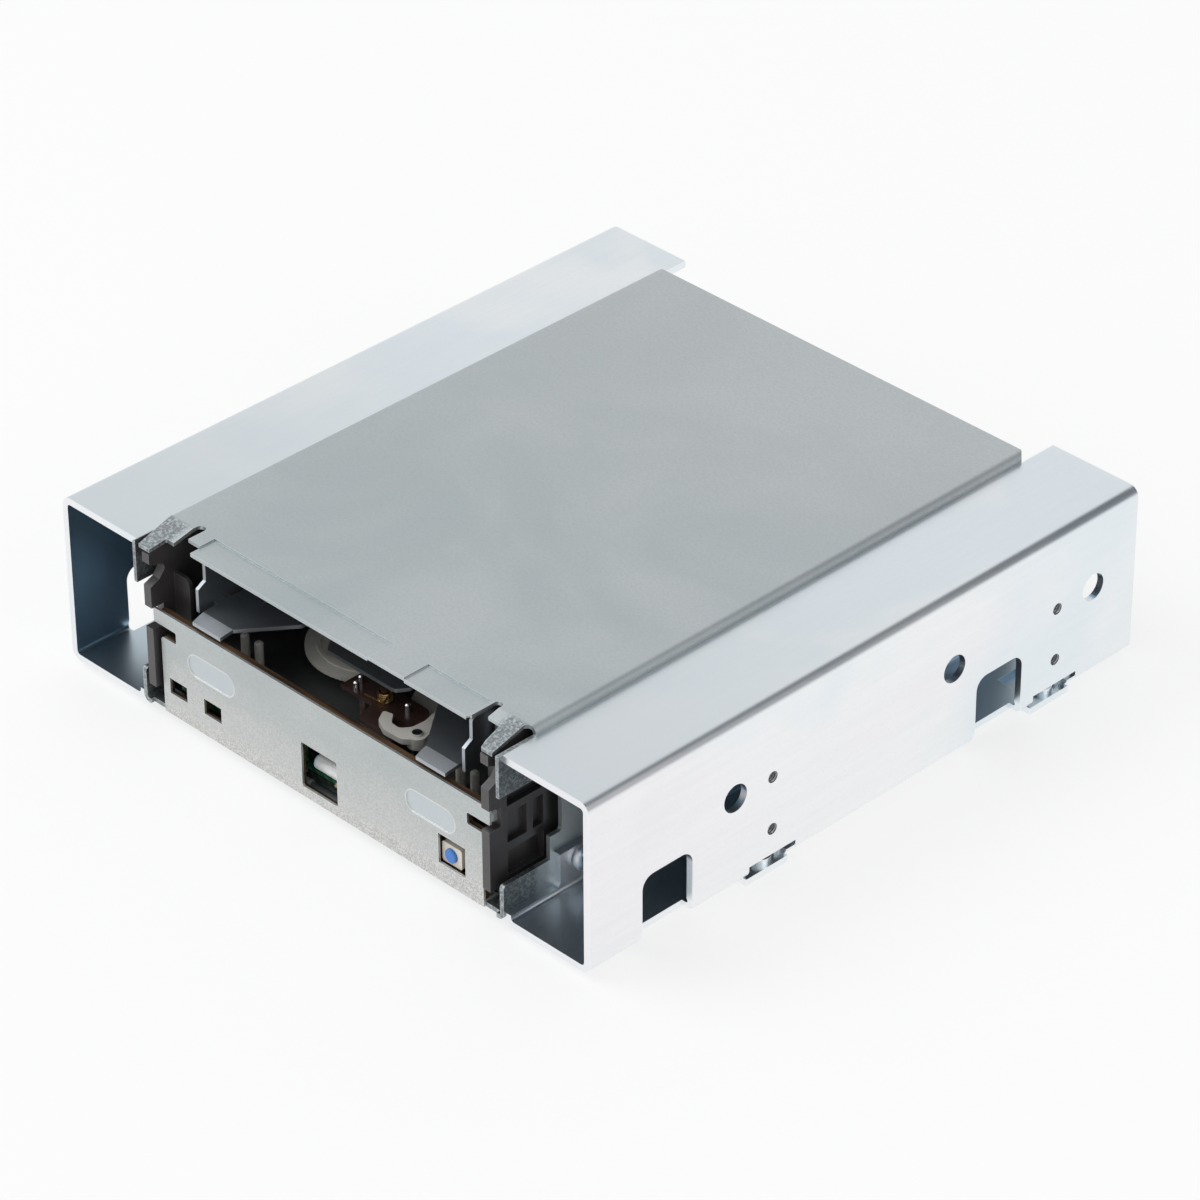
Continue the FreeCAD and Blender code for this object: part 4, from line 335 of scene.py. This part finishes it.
# Painted shade and painted reflection: the channel's inner wall, floor and roof are painted slate and dusk
# blue.
wall_painted_shade = (0 - outward).step(0.5, 0.8) * (across * across.sign()).step(*OUTER_WALL)
channel_floor_painted_shade = zinc.facing(2).step(0.5, 0.8) * (1 - up.step(*CHANNEL_FLOOR))
roof_painted_shade = (0 - zinc.facing(2)).step(0.5, 0.8) * up.step(*CHANNEL_ROOF)
slate_painted_shade = zinc.blend(cloud.step(0.4, 0.62), (0.38, 0.53, 0.68), (0.31, 0.47, 0.62))
dusk_painted_shade = zinc.blend(second_cloud.step(0.42, 0.62), (0.52, 0.60, 0.65), (0.76, 0.83, 0.87))
outside = zinc.blend((wall_painted_shade + roof_painted_shade).up_to(1.0), tops_with_painted_shade, slate_painted_shade)
outside = zinc.blend(channel_floor_painted_shade, outside, dusk_painted_shade)
# Cut edges are lighter: partly bare cut metal, partly a painted highlight.
cut_edge_and_painted_highlight = zinc.blend(zinc.edges(0.0003) * 0.75, outside, (0.97, 0.98, 0.99))
zinc.feed(Base_Color=cut_edge_and_painted_highlight, Roughness=0.22 + cloud * 0.12 + grain * 0.08)
zinc.bump(grain * 0.6 + roll * 0.4, 0.00002, 0.5)
print(zinc.material.name, len(zinc.nodes), "nodes")

# %% [markdown]
# ## Satin steel
# The cover and the tray are a duller, greyer sheet with an even satin skin and cloudy patches, as
# from a phosphate or a dull plating bath. A higher roughness and a fine pebble do the work. The
# back of the cover is painted a little paler than the front, a painted light, and handling has
# smoked the two corner tongues. Cut edges are lighter, partly bare metal and partly a painted highlight.

# %% Satin sheet
PAINTED_LIGHT_BACKWARD = (-0.06, 0.07)          # along Y
TONGUE_SIDE = (0.0435, 0.0455)    # from the middle
TONGUE_FRONT = (-0.0668, -0.0655)
satin = Finish("satin_sheet", Metallic=1.0)
patchy = satin.noise(0.05, detail=3, roughness=0.6, distortion=0.6)
speck = satin.noise(0.0006, detail=3, roughness=0.7)
# Painted light: the sheet is painted paler towards the back.
rear_painted_light = satin.along(1).step(*PAINTED_LIGHT_BACKWARD)
even = satin.blend(patchy.step(0.35, 0.68), (0.47, 0.52, 0.53), (0.55, 0.585, 0.595))
with_painted_rear_light = satin.blend(rear_painted_light * 0.6, even, (0.585, 0.605, 0.615))
grey = satin.blend(speck.step(0.35, 0.7) * 0.30, with_painted_rear_light, (0.42, 0.45, 0.46))
aside = satin.along(0) * satin.along(0).sign()
tongues = aside.step(*TONGUE_SIDE) * (1 - satin.along(1).step(*TONGUE_FRONT))
smoked = satin.blend(tongues * speck.step(0.3, 0.6), grey, (0.22, 0.24, 0.25))
# Cut edges are lighter: partly bare metal, partly a painted highlight.
edge_wear_and_painted_highlight = satin.blend(satin.edges(0.00025) * 0.6, smoked, (0.82, 0.85, 0.86))
satin.feed(Base_Color=edge_wear_and_painted_highlight, Roughness=0.40 + patchy * 0.10 + speck * 0.10)
satin.bump(speck, 0.00003, 0.6)
print(satin.material.name, len(satin.nodes), "nodes")

# %% [markdown]
# ## Front plate sheet
# The plate is the same stock but rubbed. Its upper half is smooth and bluish, and a whitish grainy
# band runs along its foot, wider to the right. The border between them is ragged, so it comes from
# height plus noise, cut at a level. The two pressed ovals are bluish inside with a thin bright rim,
# a painted highlight on the pressed slope: the distance from an oval's straight core gives both.
# Cut edges are lighter, partly bare metal and partly a painted highlight. The face that looks
# inward is painted darker, a painted shade.

# %% Rubbed plate
OVALS = ((-0.0306, 0.0172), (0.0309, 0.01675))    # the middle of each, along X and Z
OVAL_CORE = 4.1                   # half the straight core, in millimetres
OVAL_EDGE = (5.5, 6.1)            # squared millimetres from the core
RIM_EDGE = (7.0, 8.2)
plate = Finish("rubbed_plate", Metallic=0.85)
fleck = plate.noise(0.00030, detail=3, roughness=0.75)
drift = plate.noise(0.02, scale=(1, 1, 2), detail=3)
height = plate.along(2) - plate.along(0) * 0.035
band = 1 - (height * 170 + drift * 1.1 + fleck * 1.1).step(1.70, 2.30)
middle = 1 - (height * 60 + drift * 1.2 + fleck * 0.6).step(1.35, 2.0)
upper = plate.blend(drift.step(0.3, 0.7), (0.50, 0.545, 0.545), (0.57, 0.60, 0.595))
greyed = plate.blend(middle * 0.8, upper, (0.66, 0.665, 0.65))
pepper = plate.blend(fleck.step(0.40, 0.60) * 0.45, greyed, (0.42, 0.43, 0.43))
chalk = plate.blend(fleck.step(0.44, 0.56), (0.76, 0.755, 0.73), (0.52, 0.525, 0.515))
body = plate.blend(band * 0.85, pepper, chalk)


def from_oval(x, z):
    """Squared distance in millimetres from the straight core of a pressed oval."""
    beside = (plate.along(0) - x) * 1000
    past = beside * beside.sign() - OVAL_CORE
    past = past * past.step(0.0, 0.01)
    above = (plate.along(2) - z) * 1000
    return past * past + above * above


for x, z in OVALS:
    oval = from_oval(x, z)
    outside_oval = oval.step(*OVAL_EDGE)
    body = plate.blend((1 - outside_oval) * 0.7, body, (0.60, 0.66, 0.70))
    # Painted highlight: a thin bright rim round each pressed oval.
    rim_painted_highlight = outside_oval * (1 - oval.step(*RIM_EDGE))
    body = plate.blend(rim_painted_highlight * 0.6, body, (0.84, 0.85, 0.84))
# Cut edges are lighter: partly bare metal, partly a painted highlight.
edge_wear_and_painted_highlight = plate.blend(plate.edges(0.0002) * 0.8, body, (0.90, 0.90, 0.88))
# Painted shade: the face that looks inward is darkened.
inward_painted_shade = plate.facing(1).step(0.5, 0.8)
with_inward_painted_shade = plate.blend(inward_painted_shade * 0.6, edge_wear_and_painted_highlight, (0.20, 0.21, 0.215))
plate.feed(Base_Color=with_inward_painted_shade, Roughness=0.42 + band * 0.16 + fleck * 0.08)
plate.bump(fleck, 0.00003, 0.5)
print(plate.material.name, len(plate.nodes), "nodes")

# %% [markdown]
# ## The rest of the metals
# Castings are dull and pebbled, turned parts show fine rings, pins are polished and brass is warm.
# One small function makes them, because they differ in colour, roughness and grain only.


# %% Plain metals
def metal(name, colour, shade, roughness, grain_size, depth, stretch=(1, 1, 1)):
    """A metal that varies between colour and shade, with grain of one size."""
    made = Finish(name, Metallic=1.0)
    texture = made.noise(grain_size, scale=stretch, detail=3, roughness=0.6)
    broad = made.noise(0.012, detail=2)
    tone = made.blend(texture * 0.6 + broad * 0.4, colour, shade)
    # Edges are lighter: partly rubbed wear, partly a painted highlight.
    rubbed_and_highlit_edge = tuple(min(1, c * 1.3) for c in colour)
    made.feed(Base_Color=made.blend(made.edges(0.0002) * 0.4, tone, rubbed_and_highlit_edge),
              Roughness=roughness + texture * 0.12)
    made.bump(texture, depth, 0.5)
    return made


cast = metal("cast_metal", (0.26, 0.27, 0.28), (0.20, 0.205, 0.21), 0.42, 0.0012, 0.00006)
turned = metal("turned_drum", (0.78, 0.79, 0.80), (0.68, 0.69, 0.70), 0.16, 0.0003, 0.00001, (0.05, 0.05, 1))
polished = metal("polished_pin", (0.82, 0.82, 0.83), (0.70, 0.70, 0.71), 0.10, 0.0006, 0.000005)
thread_steel = metal("cut_thread", (0.30, 0.31, 0.32), (0.22, 0.225, 0.23), 0.30, 0.0005, 0.00001)
screw_steel = metal("plated_screw", (0.66, 0.67, 0.68), (0.50, 0.51, 0.53), 0.24, 0.0005, 0.00001)
motor_can = metal("motor_can", (0.58, 0.58, 0.59), (0.48, 0.48, 0.49), 0.28, 0.0004, 0.00001, (1, 0.1, 1))
brass = metal("plain_brass", (0.72, 0.52, 0.24), (0.55, 0.38, 0.15), 0.22, 0.0006, 0.00001)
holder_sheet = metal("holder_sheet", (0.46, 0.49, 0.52), (0.38, 0.41, 0.44), 0.36, 0.0005, 0.00001)
print("plain metals are ready")

# %% [markdown]
# ## Mouldings and rubber
# Moulded plastic has a fine spark-eroded texture and slightly paler edges, partly rubbed and
# partly a painted highlight.


# %% Plastics
def moulding(name, colour, shade, roughness, edge, pebble=0.0004, gloss=0.5):
    """Moulded plastic or rubber with a fine pebble. Gloss is the strength of its shine."""
    made = Finish(name, Specular_IOR_Level=gloss)
    texture = made.noise(pebble, detail=2, roughness=0.6)
    broad = made.noise(0.01, detail=2)
    tone = made.blend(broad.step(0.3, 0.7), colour, shade)
    # Edges are lighter: partly rubbed wear, partly a painted highlight.
    rubbed_and_highlit_edge = tuple(min(1, c + edge) for c in colour)
    made.feed(Base_Color=made.blend(made.edges(0.00025) * 0.7, tone, rubbed_and_highlit_edge),
              Roughness=roughness + texture * 0.15)
    made.bump(texture, 0.00002, 0.5)
    return made


black = moulding("black_moulding", (0.026, 0.022, 0.023), (0.042, 0.037, 0.037), 0.36, edge=0.09, gloss=0.95)
dark_brown = moulding("dark_brown_moulding", (0.035, 0.018, 0.015), (0.055, 0.028, 0.022), 0.22, edge=0.05)
white = moulding("white_acetal", (0.60, 0.58, 0.53), (0.68, 0.66, 0.61), 0.36, edge=0.08)
cream = moulding("cream_moulding", (0.74, 0.66, 0.56), (0.80, 0.73, 0.64), 0.35, edge=0.06)
blue = moulding("blue_button", (0.03, 0.17, 0.55), (0.05, 0.22, 0.62), 0.25, edge=0.10)
rubber = moulding("black_rubber", (0.022, 0.022, 0.023), (0.035, 0.035, 0.036), 0.62, edge=0.02,
                  pebble=0.0007)
print("plastics and rubber are ready")

# %% [markdown]
# ## Status lights and capacitor
# The two lights are small bodies of tinted resin: one shows greenish grey when it is off, the other
# amber. Both share one node, so the finish picks its colour by which side of the middle a point
# lies. The capacitor is a white-sleeved can with a cyan band at its left end.

# %% Lights and capacitor sleeve
light_low, light_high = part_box("status_lights")
resin = Finish("light_resin", Coat_Roughness=0.05)
amber_side = resin.along(0) > (light_low.x + light_high.x) / 2
haze = resin.noise(0.0006, detail=2)
green_resin = resin.blend(haze.step(0.35, 0.65), (0.13, 0.16, 0.13), (0.26, 0.32, 0.25))
amber_resin = resin.blend(haze.step(0.35, 0.65), (0.78, 0.42, 0.12), (0.90, 0.60, 0.26))
resin.feed(Base_Color=resin.blend(amber_side, green_resin, amber_resin), Roughness=0.15 + haze * 0.2)

can_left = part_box("board_capacitor")[0].x
sleeve = Finish("white_sleeve", Coat_Weight=0.3)
end = 1 - (sleeve.along(0) - can_left).step(0.0004, 0.0011)
crinkle = sleeve.noise(0.0007, detail=2)
skin = sleeve.blend(crinkle.step(0.3, 0.7), (0.80, 0.82, 0.82), (0.90, 0.90, 0.89))
sleeve.feed(Base_Color=sleeve.blend(end * crinkle.step(0.35, 0.6), skin, (0.30, 0.68, 0.78)),
            Roughness=0.22 + crinkle * 0.15)
print("lights and capacitor are ready")

# %% [markdown]
# ## Laminate and circuit boards
# The laminate behind the plate is brown phenolic paper: its faces are plain, and its sawn edge shows
# thin layers. The circuit boards carry a mask over copper, with tracks and small plated holes: the
# small upright board's mask is green and the large board's is so dark that it looks black indoors.

# %% Laminate and circuit board
laminate = Finish("brown_laminate", Specular_IOR_Level=0.12)
layers = laminate.noise(0.0012, scale=(0.08, 1, 3), detail=3)
laminate.feed(Base_Color=laminate.blend(layers.step(0.3, 0.7), (0.025, 0.014, 0.008), (0.10, 0.06, 0.032)),
              Roughness=0.45 + layers * 0.2)
laminate.bump(layers, 0.00003, 0.5)


def circuit(name, ground, copper):
    """A circuit board with tracks under its mask and plated holes."""
    made = Finish(name)
    ripple = made.node("ShaderNodeTexWave", {"wave_type": "BANDS", "bands_direction": "DIAGONAL"},
                       {"Vector": made.place(), "Scale": 260, "Distortion": 5.0, "Detail": 1.0,
                        "Detail Scale": 0.2}, output=1)
    tracks = ripple.step(0.55, 0.75)
    holes = 1 - made.cells(0.0042).step(0.10, 0.13)
    mask = made.blend(tracks, ground, copper)
    made.feed(Base_Color=made.blend(holes, mask, (0.55, 0.50, 0.35)), Roughness=0.30 + tracks * 0.1,
              Metallic=holes * 0.8)
    made.bump(tracks, 0.00004, 0.6)
    return made


board = circuit("green_board", (0.010, 0.060, 0.032), (0.022, 0.12, 0.058))
dark_board = circuit("dark_board", (0.006, 0.010, 0.009), (0.014, 0.026, 0.020))
print("laminate and boards are ready")

# %% [markdown]
# ## Dressing the frame
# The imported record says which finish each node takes, apart from the large board. A node keeps its
# mesh and only its material slots are filled, so nothing that the physics uses is moved or changed.

# %% Finishes for the CAD nodes
FINISHES = {
    "zinc_plated_steel": zinc, "satin_steel": satin, "plate_steel": plate, "screw_steel": screw_steel,
    "black_plastic": black, "brown_laminate": laminate, "circuit_board": board, "holder_steel": holder_sheet,
    "cast_metal": cast, "drum_metal": turned, "white_plastic": white, "chrome_pin": polished, "brass": brass,
    "rubber": rubber, "cream_plastic": cream, "blue_plastic": blue, "clear_plastic": resin,
    "capacitor_sleeve": sleeve, "motor_steel": motor_can, "brown_black_plastic": dark_brown,
}
OWN_FINISHES = {"main_circuit_board": dark_board}
for part in frame["record"]["subparts"]:
    node = frame["nodes"][part["node"]]
    finish = OWN_FINISHES.get(part["node"], FINISHES[part["material_slot"]])
    if not node.data.materials:
        node.data.materials.append(None)
    for material_slot in node.material_slots:
        material_slot.material = finish.material
print(len(frame["nodes"]), "nodes dressed")

# %% [markdown]
# ## Making pieces from mesh code
# Small parts that a CAD solid leaves plain are made here: threads, cross recesses, ribs, contact
# pins and a coiled spring. Each one starts as a bmesh, becomes an object by the helper below, takes
# a finish, and rides on the body that carries it.

# %% From bmesh to a piece
SMOOTH_BELOW = math.radians(32)


def object_from(name, shape):
    """An object whose mesh is taken from a bmesh."""
    mesh = bpy.data.meshes.new(name)
    bmesh.ops.recalc_face_normals(shape, faces=shape.faces)
    shape.to_mesh(mesh)
    shape.free()
    made = bpy.data.objects.new(name, mesh)
    bpy.context.collection.objects.link(made)
    return made


def smooth(mesh):
    """Shade a mesh smooth, apart from its sharp corners."""
    mesh.polygons.foreach_set("use_smooth", [True] * len(mesh.polygons))
    mesh.set_sharp_from_angle(angle=SMOOTH_BELOW)


def piece(name, shape, finish, body):
    """An object from a bmesh, with its finish and its body."""
    made = object_from(name, shape)
    smooth(made.data)
    made.data.materials.append(finish.material)
    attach(made, body)
    return made


def body_with(node):
    """The body that a node belongs to."""
    bodies = frame["record"]["behaviour"]["bodies"]
    return next(name for name, nodes in bodies.items() if node in nodes)


def lathe(shape, profile, place, axis, steps=20):
    """Turn a profile of (radius, height) points round an axis through a place."""
    turn = Vector((0, 0, 1)).rotation_difference(axis).to_matrix()
    rings = []
    for radius, height in profile:
        if radius == 0:
            rings.append([shape.verts.new(place + turn @ Vector((0, 0, height)))])
            continue
        angles = [2 * math.pi * step / steps for step in range(steps)]
        points = [Vector((radius * math.cos(a), radius * math.sin(a), height)) for a in angles]
        rings.append([shape.verts.new(place + turn @ point) for point in points])
    for low_ring, high_ring in zip(rings, rings[1:]):
        for step in range(steps):
            after = (step + 1) % steps
            corners = [low_ring[step % len(low_ring)], low_ring[after % len(low_ring)],
                       high_ring[after % len(high_ring)], high_ring[step % len(high_ring)]]
            shape.faces.new(list(dict.fromkeys(corners)))


def sweep(shape, stations):
    """Join closed rings of points, each the same length, into a skin with closed ends."""
    rings = [[shape.verts.new(point) for point in ring] for ring in stations]
    count = len(rings[0])
    for first, second in zip(rings, rings[1:]):
        for n in range(count):
            shape.faces.new((first[n], first[(n + 1) % count], second[(n + 1) % count], second[n]))
    shape.faces.new(rings[0])
    shape.faces.new(rings[-1])


print("helpers for pieces are ready")

# %% [markdown]
# ## Screw threads in the brackets
# Each bracket has four tapped holes in its side. A tap leaves a helical ridge, so a small section
# with a narrow crest is swept along a helix that climbs one pitch for each turn.

# %% Threads
THREAD_PITCH = 0.0005
THREAD_ROOT = 0.00128     # just inside the hole's wall
THREAD_CREST = 0.00104
STEPS_A_TURN = 20
SIDE_HOLES = [(y, z) for y in (-0.02665, 0.0526) for z in (0.010, 0.02184)]
HOLE_MOUTH = 0.00025      # from the bracket's side to the first thread
THREAD_LENGTH = 0.0022    # in the sheet and its drawn collar together
THREAD_SECTION = ((THREAD_ROOT, -0.42), (THREAD_CREST, -0.06), (THREAD_CREST, 0.06), (THREAD_ROOT, 0.42))
bay_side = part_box("right_adapter_bracket")[1].x


def thread(shape, place, axis, length):
    """A helical ridge from a place on the hole's axis, running inward along the axis."""
    turn = Vector((0, 0, 1)).rotation_difference(axis).to_matrix()
    stations = []
    for step in range(round(length / THREAD_PITCH * STEPS_A_TURN)):
        angle = 2 * math.pi * step / STEPS_A_TURN
        rise = THREAD_PITCH * step / STEPS_A_TURN
        around = Vector((math.cos(angle), math.sin(angle), 0))
        stations.append([place + turn @ (around * radius + Vector((0, 0, rise + part * THREAD_PITCH)))
                         for radius, part in THREAD_SECTION])
    sweep(shape, stations)


for side, name in ((-1, "left_adapter_bracket"), (1, "right_adapter_bracket")):
    ridges = bmesh.new()
    for y, z in SIDE_HOLES:
        start = Vector((side * (bay_side - HOLE_MOUTH), y, z))
        thread(ridges, start, Vector((-side, 0, 0)), THREAD_LENGTH)
    threads = piece(name.replace("adapter_bracket", "bracket_threads"), ridges, thread_steel,
                    body_with(name))
    print(threads.name, len(threads.data.polygons), "faces")

# %% [markdown]
# ## Screws with a cross recess
# The CAD screws have the right heads and shanks but no drive. A recess could be modelled from
# nothing, yet the head already has its true size, so a copy of the screws is taken and a tapered
# cross is cut from each head with a Boolean. The copy then stands for the CAD node.

# %% Cross recesses
WELD = 1e-6
RECESS_REACH = 0.62       # this and the next two are parts of the head's radius
RECESS_ARM = 0.13
RECESS_DEPTH = 0.42
RECESS_TAPER = 0.55       # the cross's size at its bottom, against its top
CUTTER_RISE = 0.0003      # above the head, so the cut is open


def screws_of(mesh):
    """The separate screws of a group, each as its lowest and highest corner."""
    loose = bmesh.new()
    loose.from_mesh(mesh)
    bmesh.ops.remove_doubles(loose, verts=loose.verts, dist=WELD)
    waiting = set(loose.verts)
    boxes = []
    while waiting:
        grown, edge = set(), [waiting.pop()]
        while edge:
            vert = edge.pop()
            grown.add(vert)
            fresh = [e.other_vert(vert) for e in vert.link_edges if e.other_vert(vert) in waiting]
            waiting.difference_update(fresh)
            edge.extend(fresh)
        boxes.append([Vector(pick(v.co[axis] for v in grown) for axis in range(3)) for pick in (min, max)])
    loose.free()
    return boxes


def cross(shape, place, axis, head_radius):
    """A tapered cross that is cut into a head at a place, against the way that the head faces."""
    turn = Vector((0, 0, 1)).rotation_difference(axis).to_matrix()
    reach, arm = head_radius * RECESS_REACH, head_radius * RECESS_ARM
    corners = [(reach, -arm), (reach, arm), (arm, arm), (arm, reach), (-arm, reach), (-arm, arm),
               (-reach, arm), (-reach, -arm), (-arm, -arm), (-arm, -reach), (arm, -reach), (arm, -arm)]
    levels = ((CUTTER_RISE, 1.0), (0, 1.0), (-head_radius * RECESS_DEPTH, RECESS_TAPER))
    sweep(shape, [[place + turn @ Vector((x * part, y * part, level)) for x, y in corners]
                  for level, part in levels])


def cut_recesses(node, facing, head_radius):
    """A copy of a group of screws with a cross in each head, which stands for the CAD node."""
    original = frame["nodes"][node]
    cutters = bmesh.new()
    boxes = screws_of(original.data)
    for low, high in boxes:
        middle = (low + high) / 2
        axis = facing(middle)
        reach_out = max(abs(axis.dot(high - middle)), abs(axis.dot(low - middle)))
        cross(cutters, middle + axis * reach_out, axis, head_radius)
    cutter = object_from("cutter", cutters)
    whole = bmesh.new()
    whole.from_mesh(original.data)
    bmesh.ops.remove_doubles(whole, verts=whole.verts, dist=WELD)
    made = piece(node + "_crossed", whole, screw_steel, body_with(node))
    cut = made.modifiers.new("recess", "BOOLEAN")
    cut.operation = "DIFFERENCE"
    cut.solver = "EXACT"
    cut.object = cutter
    bpy.context.view_layer.update()
    result = bpy.data.meshes.new_from_object(made.evaluated_get(bpy.context.evaluated_depsgraph_get()))
    made.modifiers.clear()
    made.data = result
    smooth(result)
    bpy.data.objects.remove(cutter)
    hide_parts(node)
    print(made.name, len(boxes), "screws", len(result.polygons), "faces")


def sideways(middle):
    """Away from the drive's middle, where heads in the sides face."""
    return Vector((math.copysign(1, middle.x), 0, 0))


def upward(middle):
    return Vector((0, 0, 1))


def downward(middle):
    return Vector((0, 0, -1))


for node, facing, head_radius in (("bracket_screws", sideways, 0.0027), ("cover_screws", sideways, 0.0021),
                                  ("board_screws", upward, 0.0021), ("mount_screws", upward, 0.0025),
                                  ("plate_screws", downward, 0.0021)):
    cut_recesses(node, facing, head_radius)

# %% [markdown]
# ## Ribs round the reel tables
# A reel table is white acetal with fine upright ribs round its rim. A toothed ring is one closed
# outline, drawn out by the rim's height, so it needs no loose blocks.

# %% Ribbed rims
RIBS = 84
RIM_UNDER = 0.0016        # from the reel table's foot to the rim
RIM_TALL = 0.0010
RING_WALL = 0.0004
RIB_PROUD = 0.00012
SKIN = 0.00002            # how far the ring's faces lie from the CAD rim's


def ribbed_ring(shape, middle, inside, outside, low, high):
    """A ring with fine ribs that stand out from its outer edge."""
    outline, bore = [], []
    for n in range(RIBS * 4):
        angle = 2 * math.pi * n / (RIBS * 4)
        radius = outside + (RIB_PROUD if n % 4 in (1, 2) else 0)
        around = Vector((math.cos(angle), math.sin(angle), 0))
        outline.append(middle + around * radius)
        bore.append(middle + around * inside)
    rings = [[shape.verts.new((p.x, p.y, z)) for p in points]
             for points, z in ((bore, low), (outline, low), (outline, high), (bore, high))]
    count = len(outline)
    for first, second in zip(rings, rings[1:] + rings[:1]):
        for n in range(count):
            shape.faces.new((first[n], first[(n + 1) % count], second[(n + 1) % count], second[n]))


for node in ("supply_reel_table", "take_up_reel_table"):
    low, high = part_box(node)
    middle = (low + high) / 2
    radius = (high.x - low.x) / 2
    ring = bmesh.new()
    under = low.z + RIM_UNDER
    ribbed_ring(ring, middle, radius - RING_WALL, radius - SKIN, under - SKIN, under + RIM_TALL + SKIN)
    ribs = piece(node.replace("table", "ribs"), ring, white, body_with(node))
    print(ribs.name, RIBS, "ribs")

# %% [markdown]
# ## Contact pins in the rear sockets
# The signal socket has two rows of twenty square pins and the power socket four round ones. They
# are plated, which a moulding's own finish can't show, so each pin gets a thin plated skin with a
# tapered tip, at the moulding's own pins.

# %% Plated pins
SIGNAL_PITCH = 0.00254
SIGNAL_COLUMNS = 20
SIGNAL_FIRST = 0.0055     # from the socket's left end
SIGNAL_ROWS = (0.0042, 0.00674)
SIGNAL_ENDS = ((0.0079, 0.00035), (0.0021, 0.00035), (0.0015, 0.00033))   # from the mouth, and half as thick
POWER_PITCH = 0.00508
POWER_PINS = 4
POWER_ROOT = 0.0104       # from the mouth
POWER_PROFILE = ((0, 0), (0.00108, 0), (0.00108, 0.0080), (0.00106, 0.0085), (0, 0.00852))
SQUARE = ((-1, -1), (1, -1), (1, 1), (-1, 1))
low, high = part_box("data_connector")
pins = bmesh.new()
for n in range(SIGNAL_COLUMNS):
    for height in SIGNAL_ROWS:
        x, z = low.x + SIGNAL_FIRST + SIGNAL_PITCH * n, low.z + height
        sweep(pins, [[Vector((x + a * half, high.y - back, z + b * half)) for a, b in SQUARE]
                     for back, half in SIGNAL_ENDS])
piece("signal_pins", pins, brass, body_with("data_connector"))

low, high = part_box("power_connector")
middle = (low + high) / 2
pins = bmesh.new()
for n in range(POWER_PINS):
    x = middle.x + POWER_PITCH * (n - (POWER_PINS - 1) / 2)
    lathe(pins, POWER_PROFILE, Vector((x, high.y - POWER_ROOT, middle.z)), Vector((0, 1, 0)))
piece("power_pins", pins, polished, body_with("power_connector"))
print(SIGNAL_COLUMNS * len(SIGNAL_ROWS), "signal pins and", POWER_PINS, "power pins")

# %% [markdown]
# ## The lever's spring
# The lever is pulled back by a few close turns of brass wire. The CAD solid is a ridged sleeve with
# two straight legs. Here the same wire is one tube along a real helix whose ends run out as legs.

# %% Spring
WIRE = 0.00021            # the wire's radius
COIL = 0.0013             # the turns' radius, to the wire's middle
COIL_TURNS = 4
TURN_STEPS = 24
FIRST_LEG = Vector((-1, -0.1, 0)).normalized() * 0.0040
LAST_LEG = Vector((0.5, -1, 0)).normalized() * 0.0034
POST_X, POST_Y = 0.0042, -0.06065
post = Vector((POST_X, POST_Y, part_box("lever_spring")[0].z + WIRE))


def wire_points():
    """The spring's middle line: a leg, the turns, and the other leg."""
    start = post + Vector((0, -COIL, 0))
    points = [start + FIRST_LEG * part for part in (1, 0.5)]
    for step in range(TURN_STEPS * COIL_TURNS + TURN_STEPS // 4 + 1):
        turned_by = step / TURN_STEPS
        angle = 2 * math.pi * (turned_by - 0.25)
        points.append(post + Vector((COIL * math.cos(angle), COIL * math.sin(angle), 2 * WIRE * turned_by)))
    return points + [points[-1] + LAST_LEG * part for part in (0.5, 1)]


def tube(shape, points, radius, steps=8):
    """A round tube along points."""
    stations = []
    for n, point in enumerate(points):
        way = (points[min(n + 1, len(points) - 1)] - points[max(n - 1, 0)]).normalized()
        beside = way.cross(Vector((0, 0, 1))).normalized()
        above = beside.cross(way)
        angles = [2 * math.pi * step / steps for step in range(steps)]
        stations.append([point + (beside * math.cos(a) + above * math.sin(a)) * radius for a in angles])
    sweep(shape, stations)


coil = bmesh.new()
tube(coil, wire_points(), WIRE)
spring = piece("coiled_spring", coil, brass, body_with("lever_spring"))
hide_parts("lever_spring")
print(spring.name, len(spring.data.polygons), "faces")

# %% [markdown]
# ## Last lines
# The CAD model's box was printed at the start, and the visual model's box is printed here.
# The visual model must stay inside the CAD model's box.

# %% Sizes and finish
low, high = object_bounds()
print("visual box", [round(v, 4) for v in (*low, *high)])
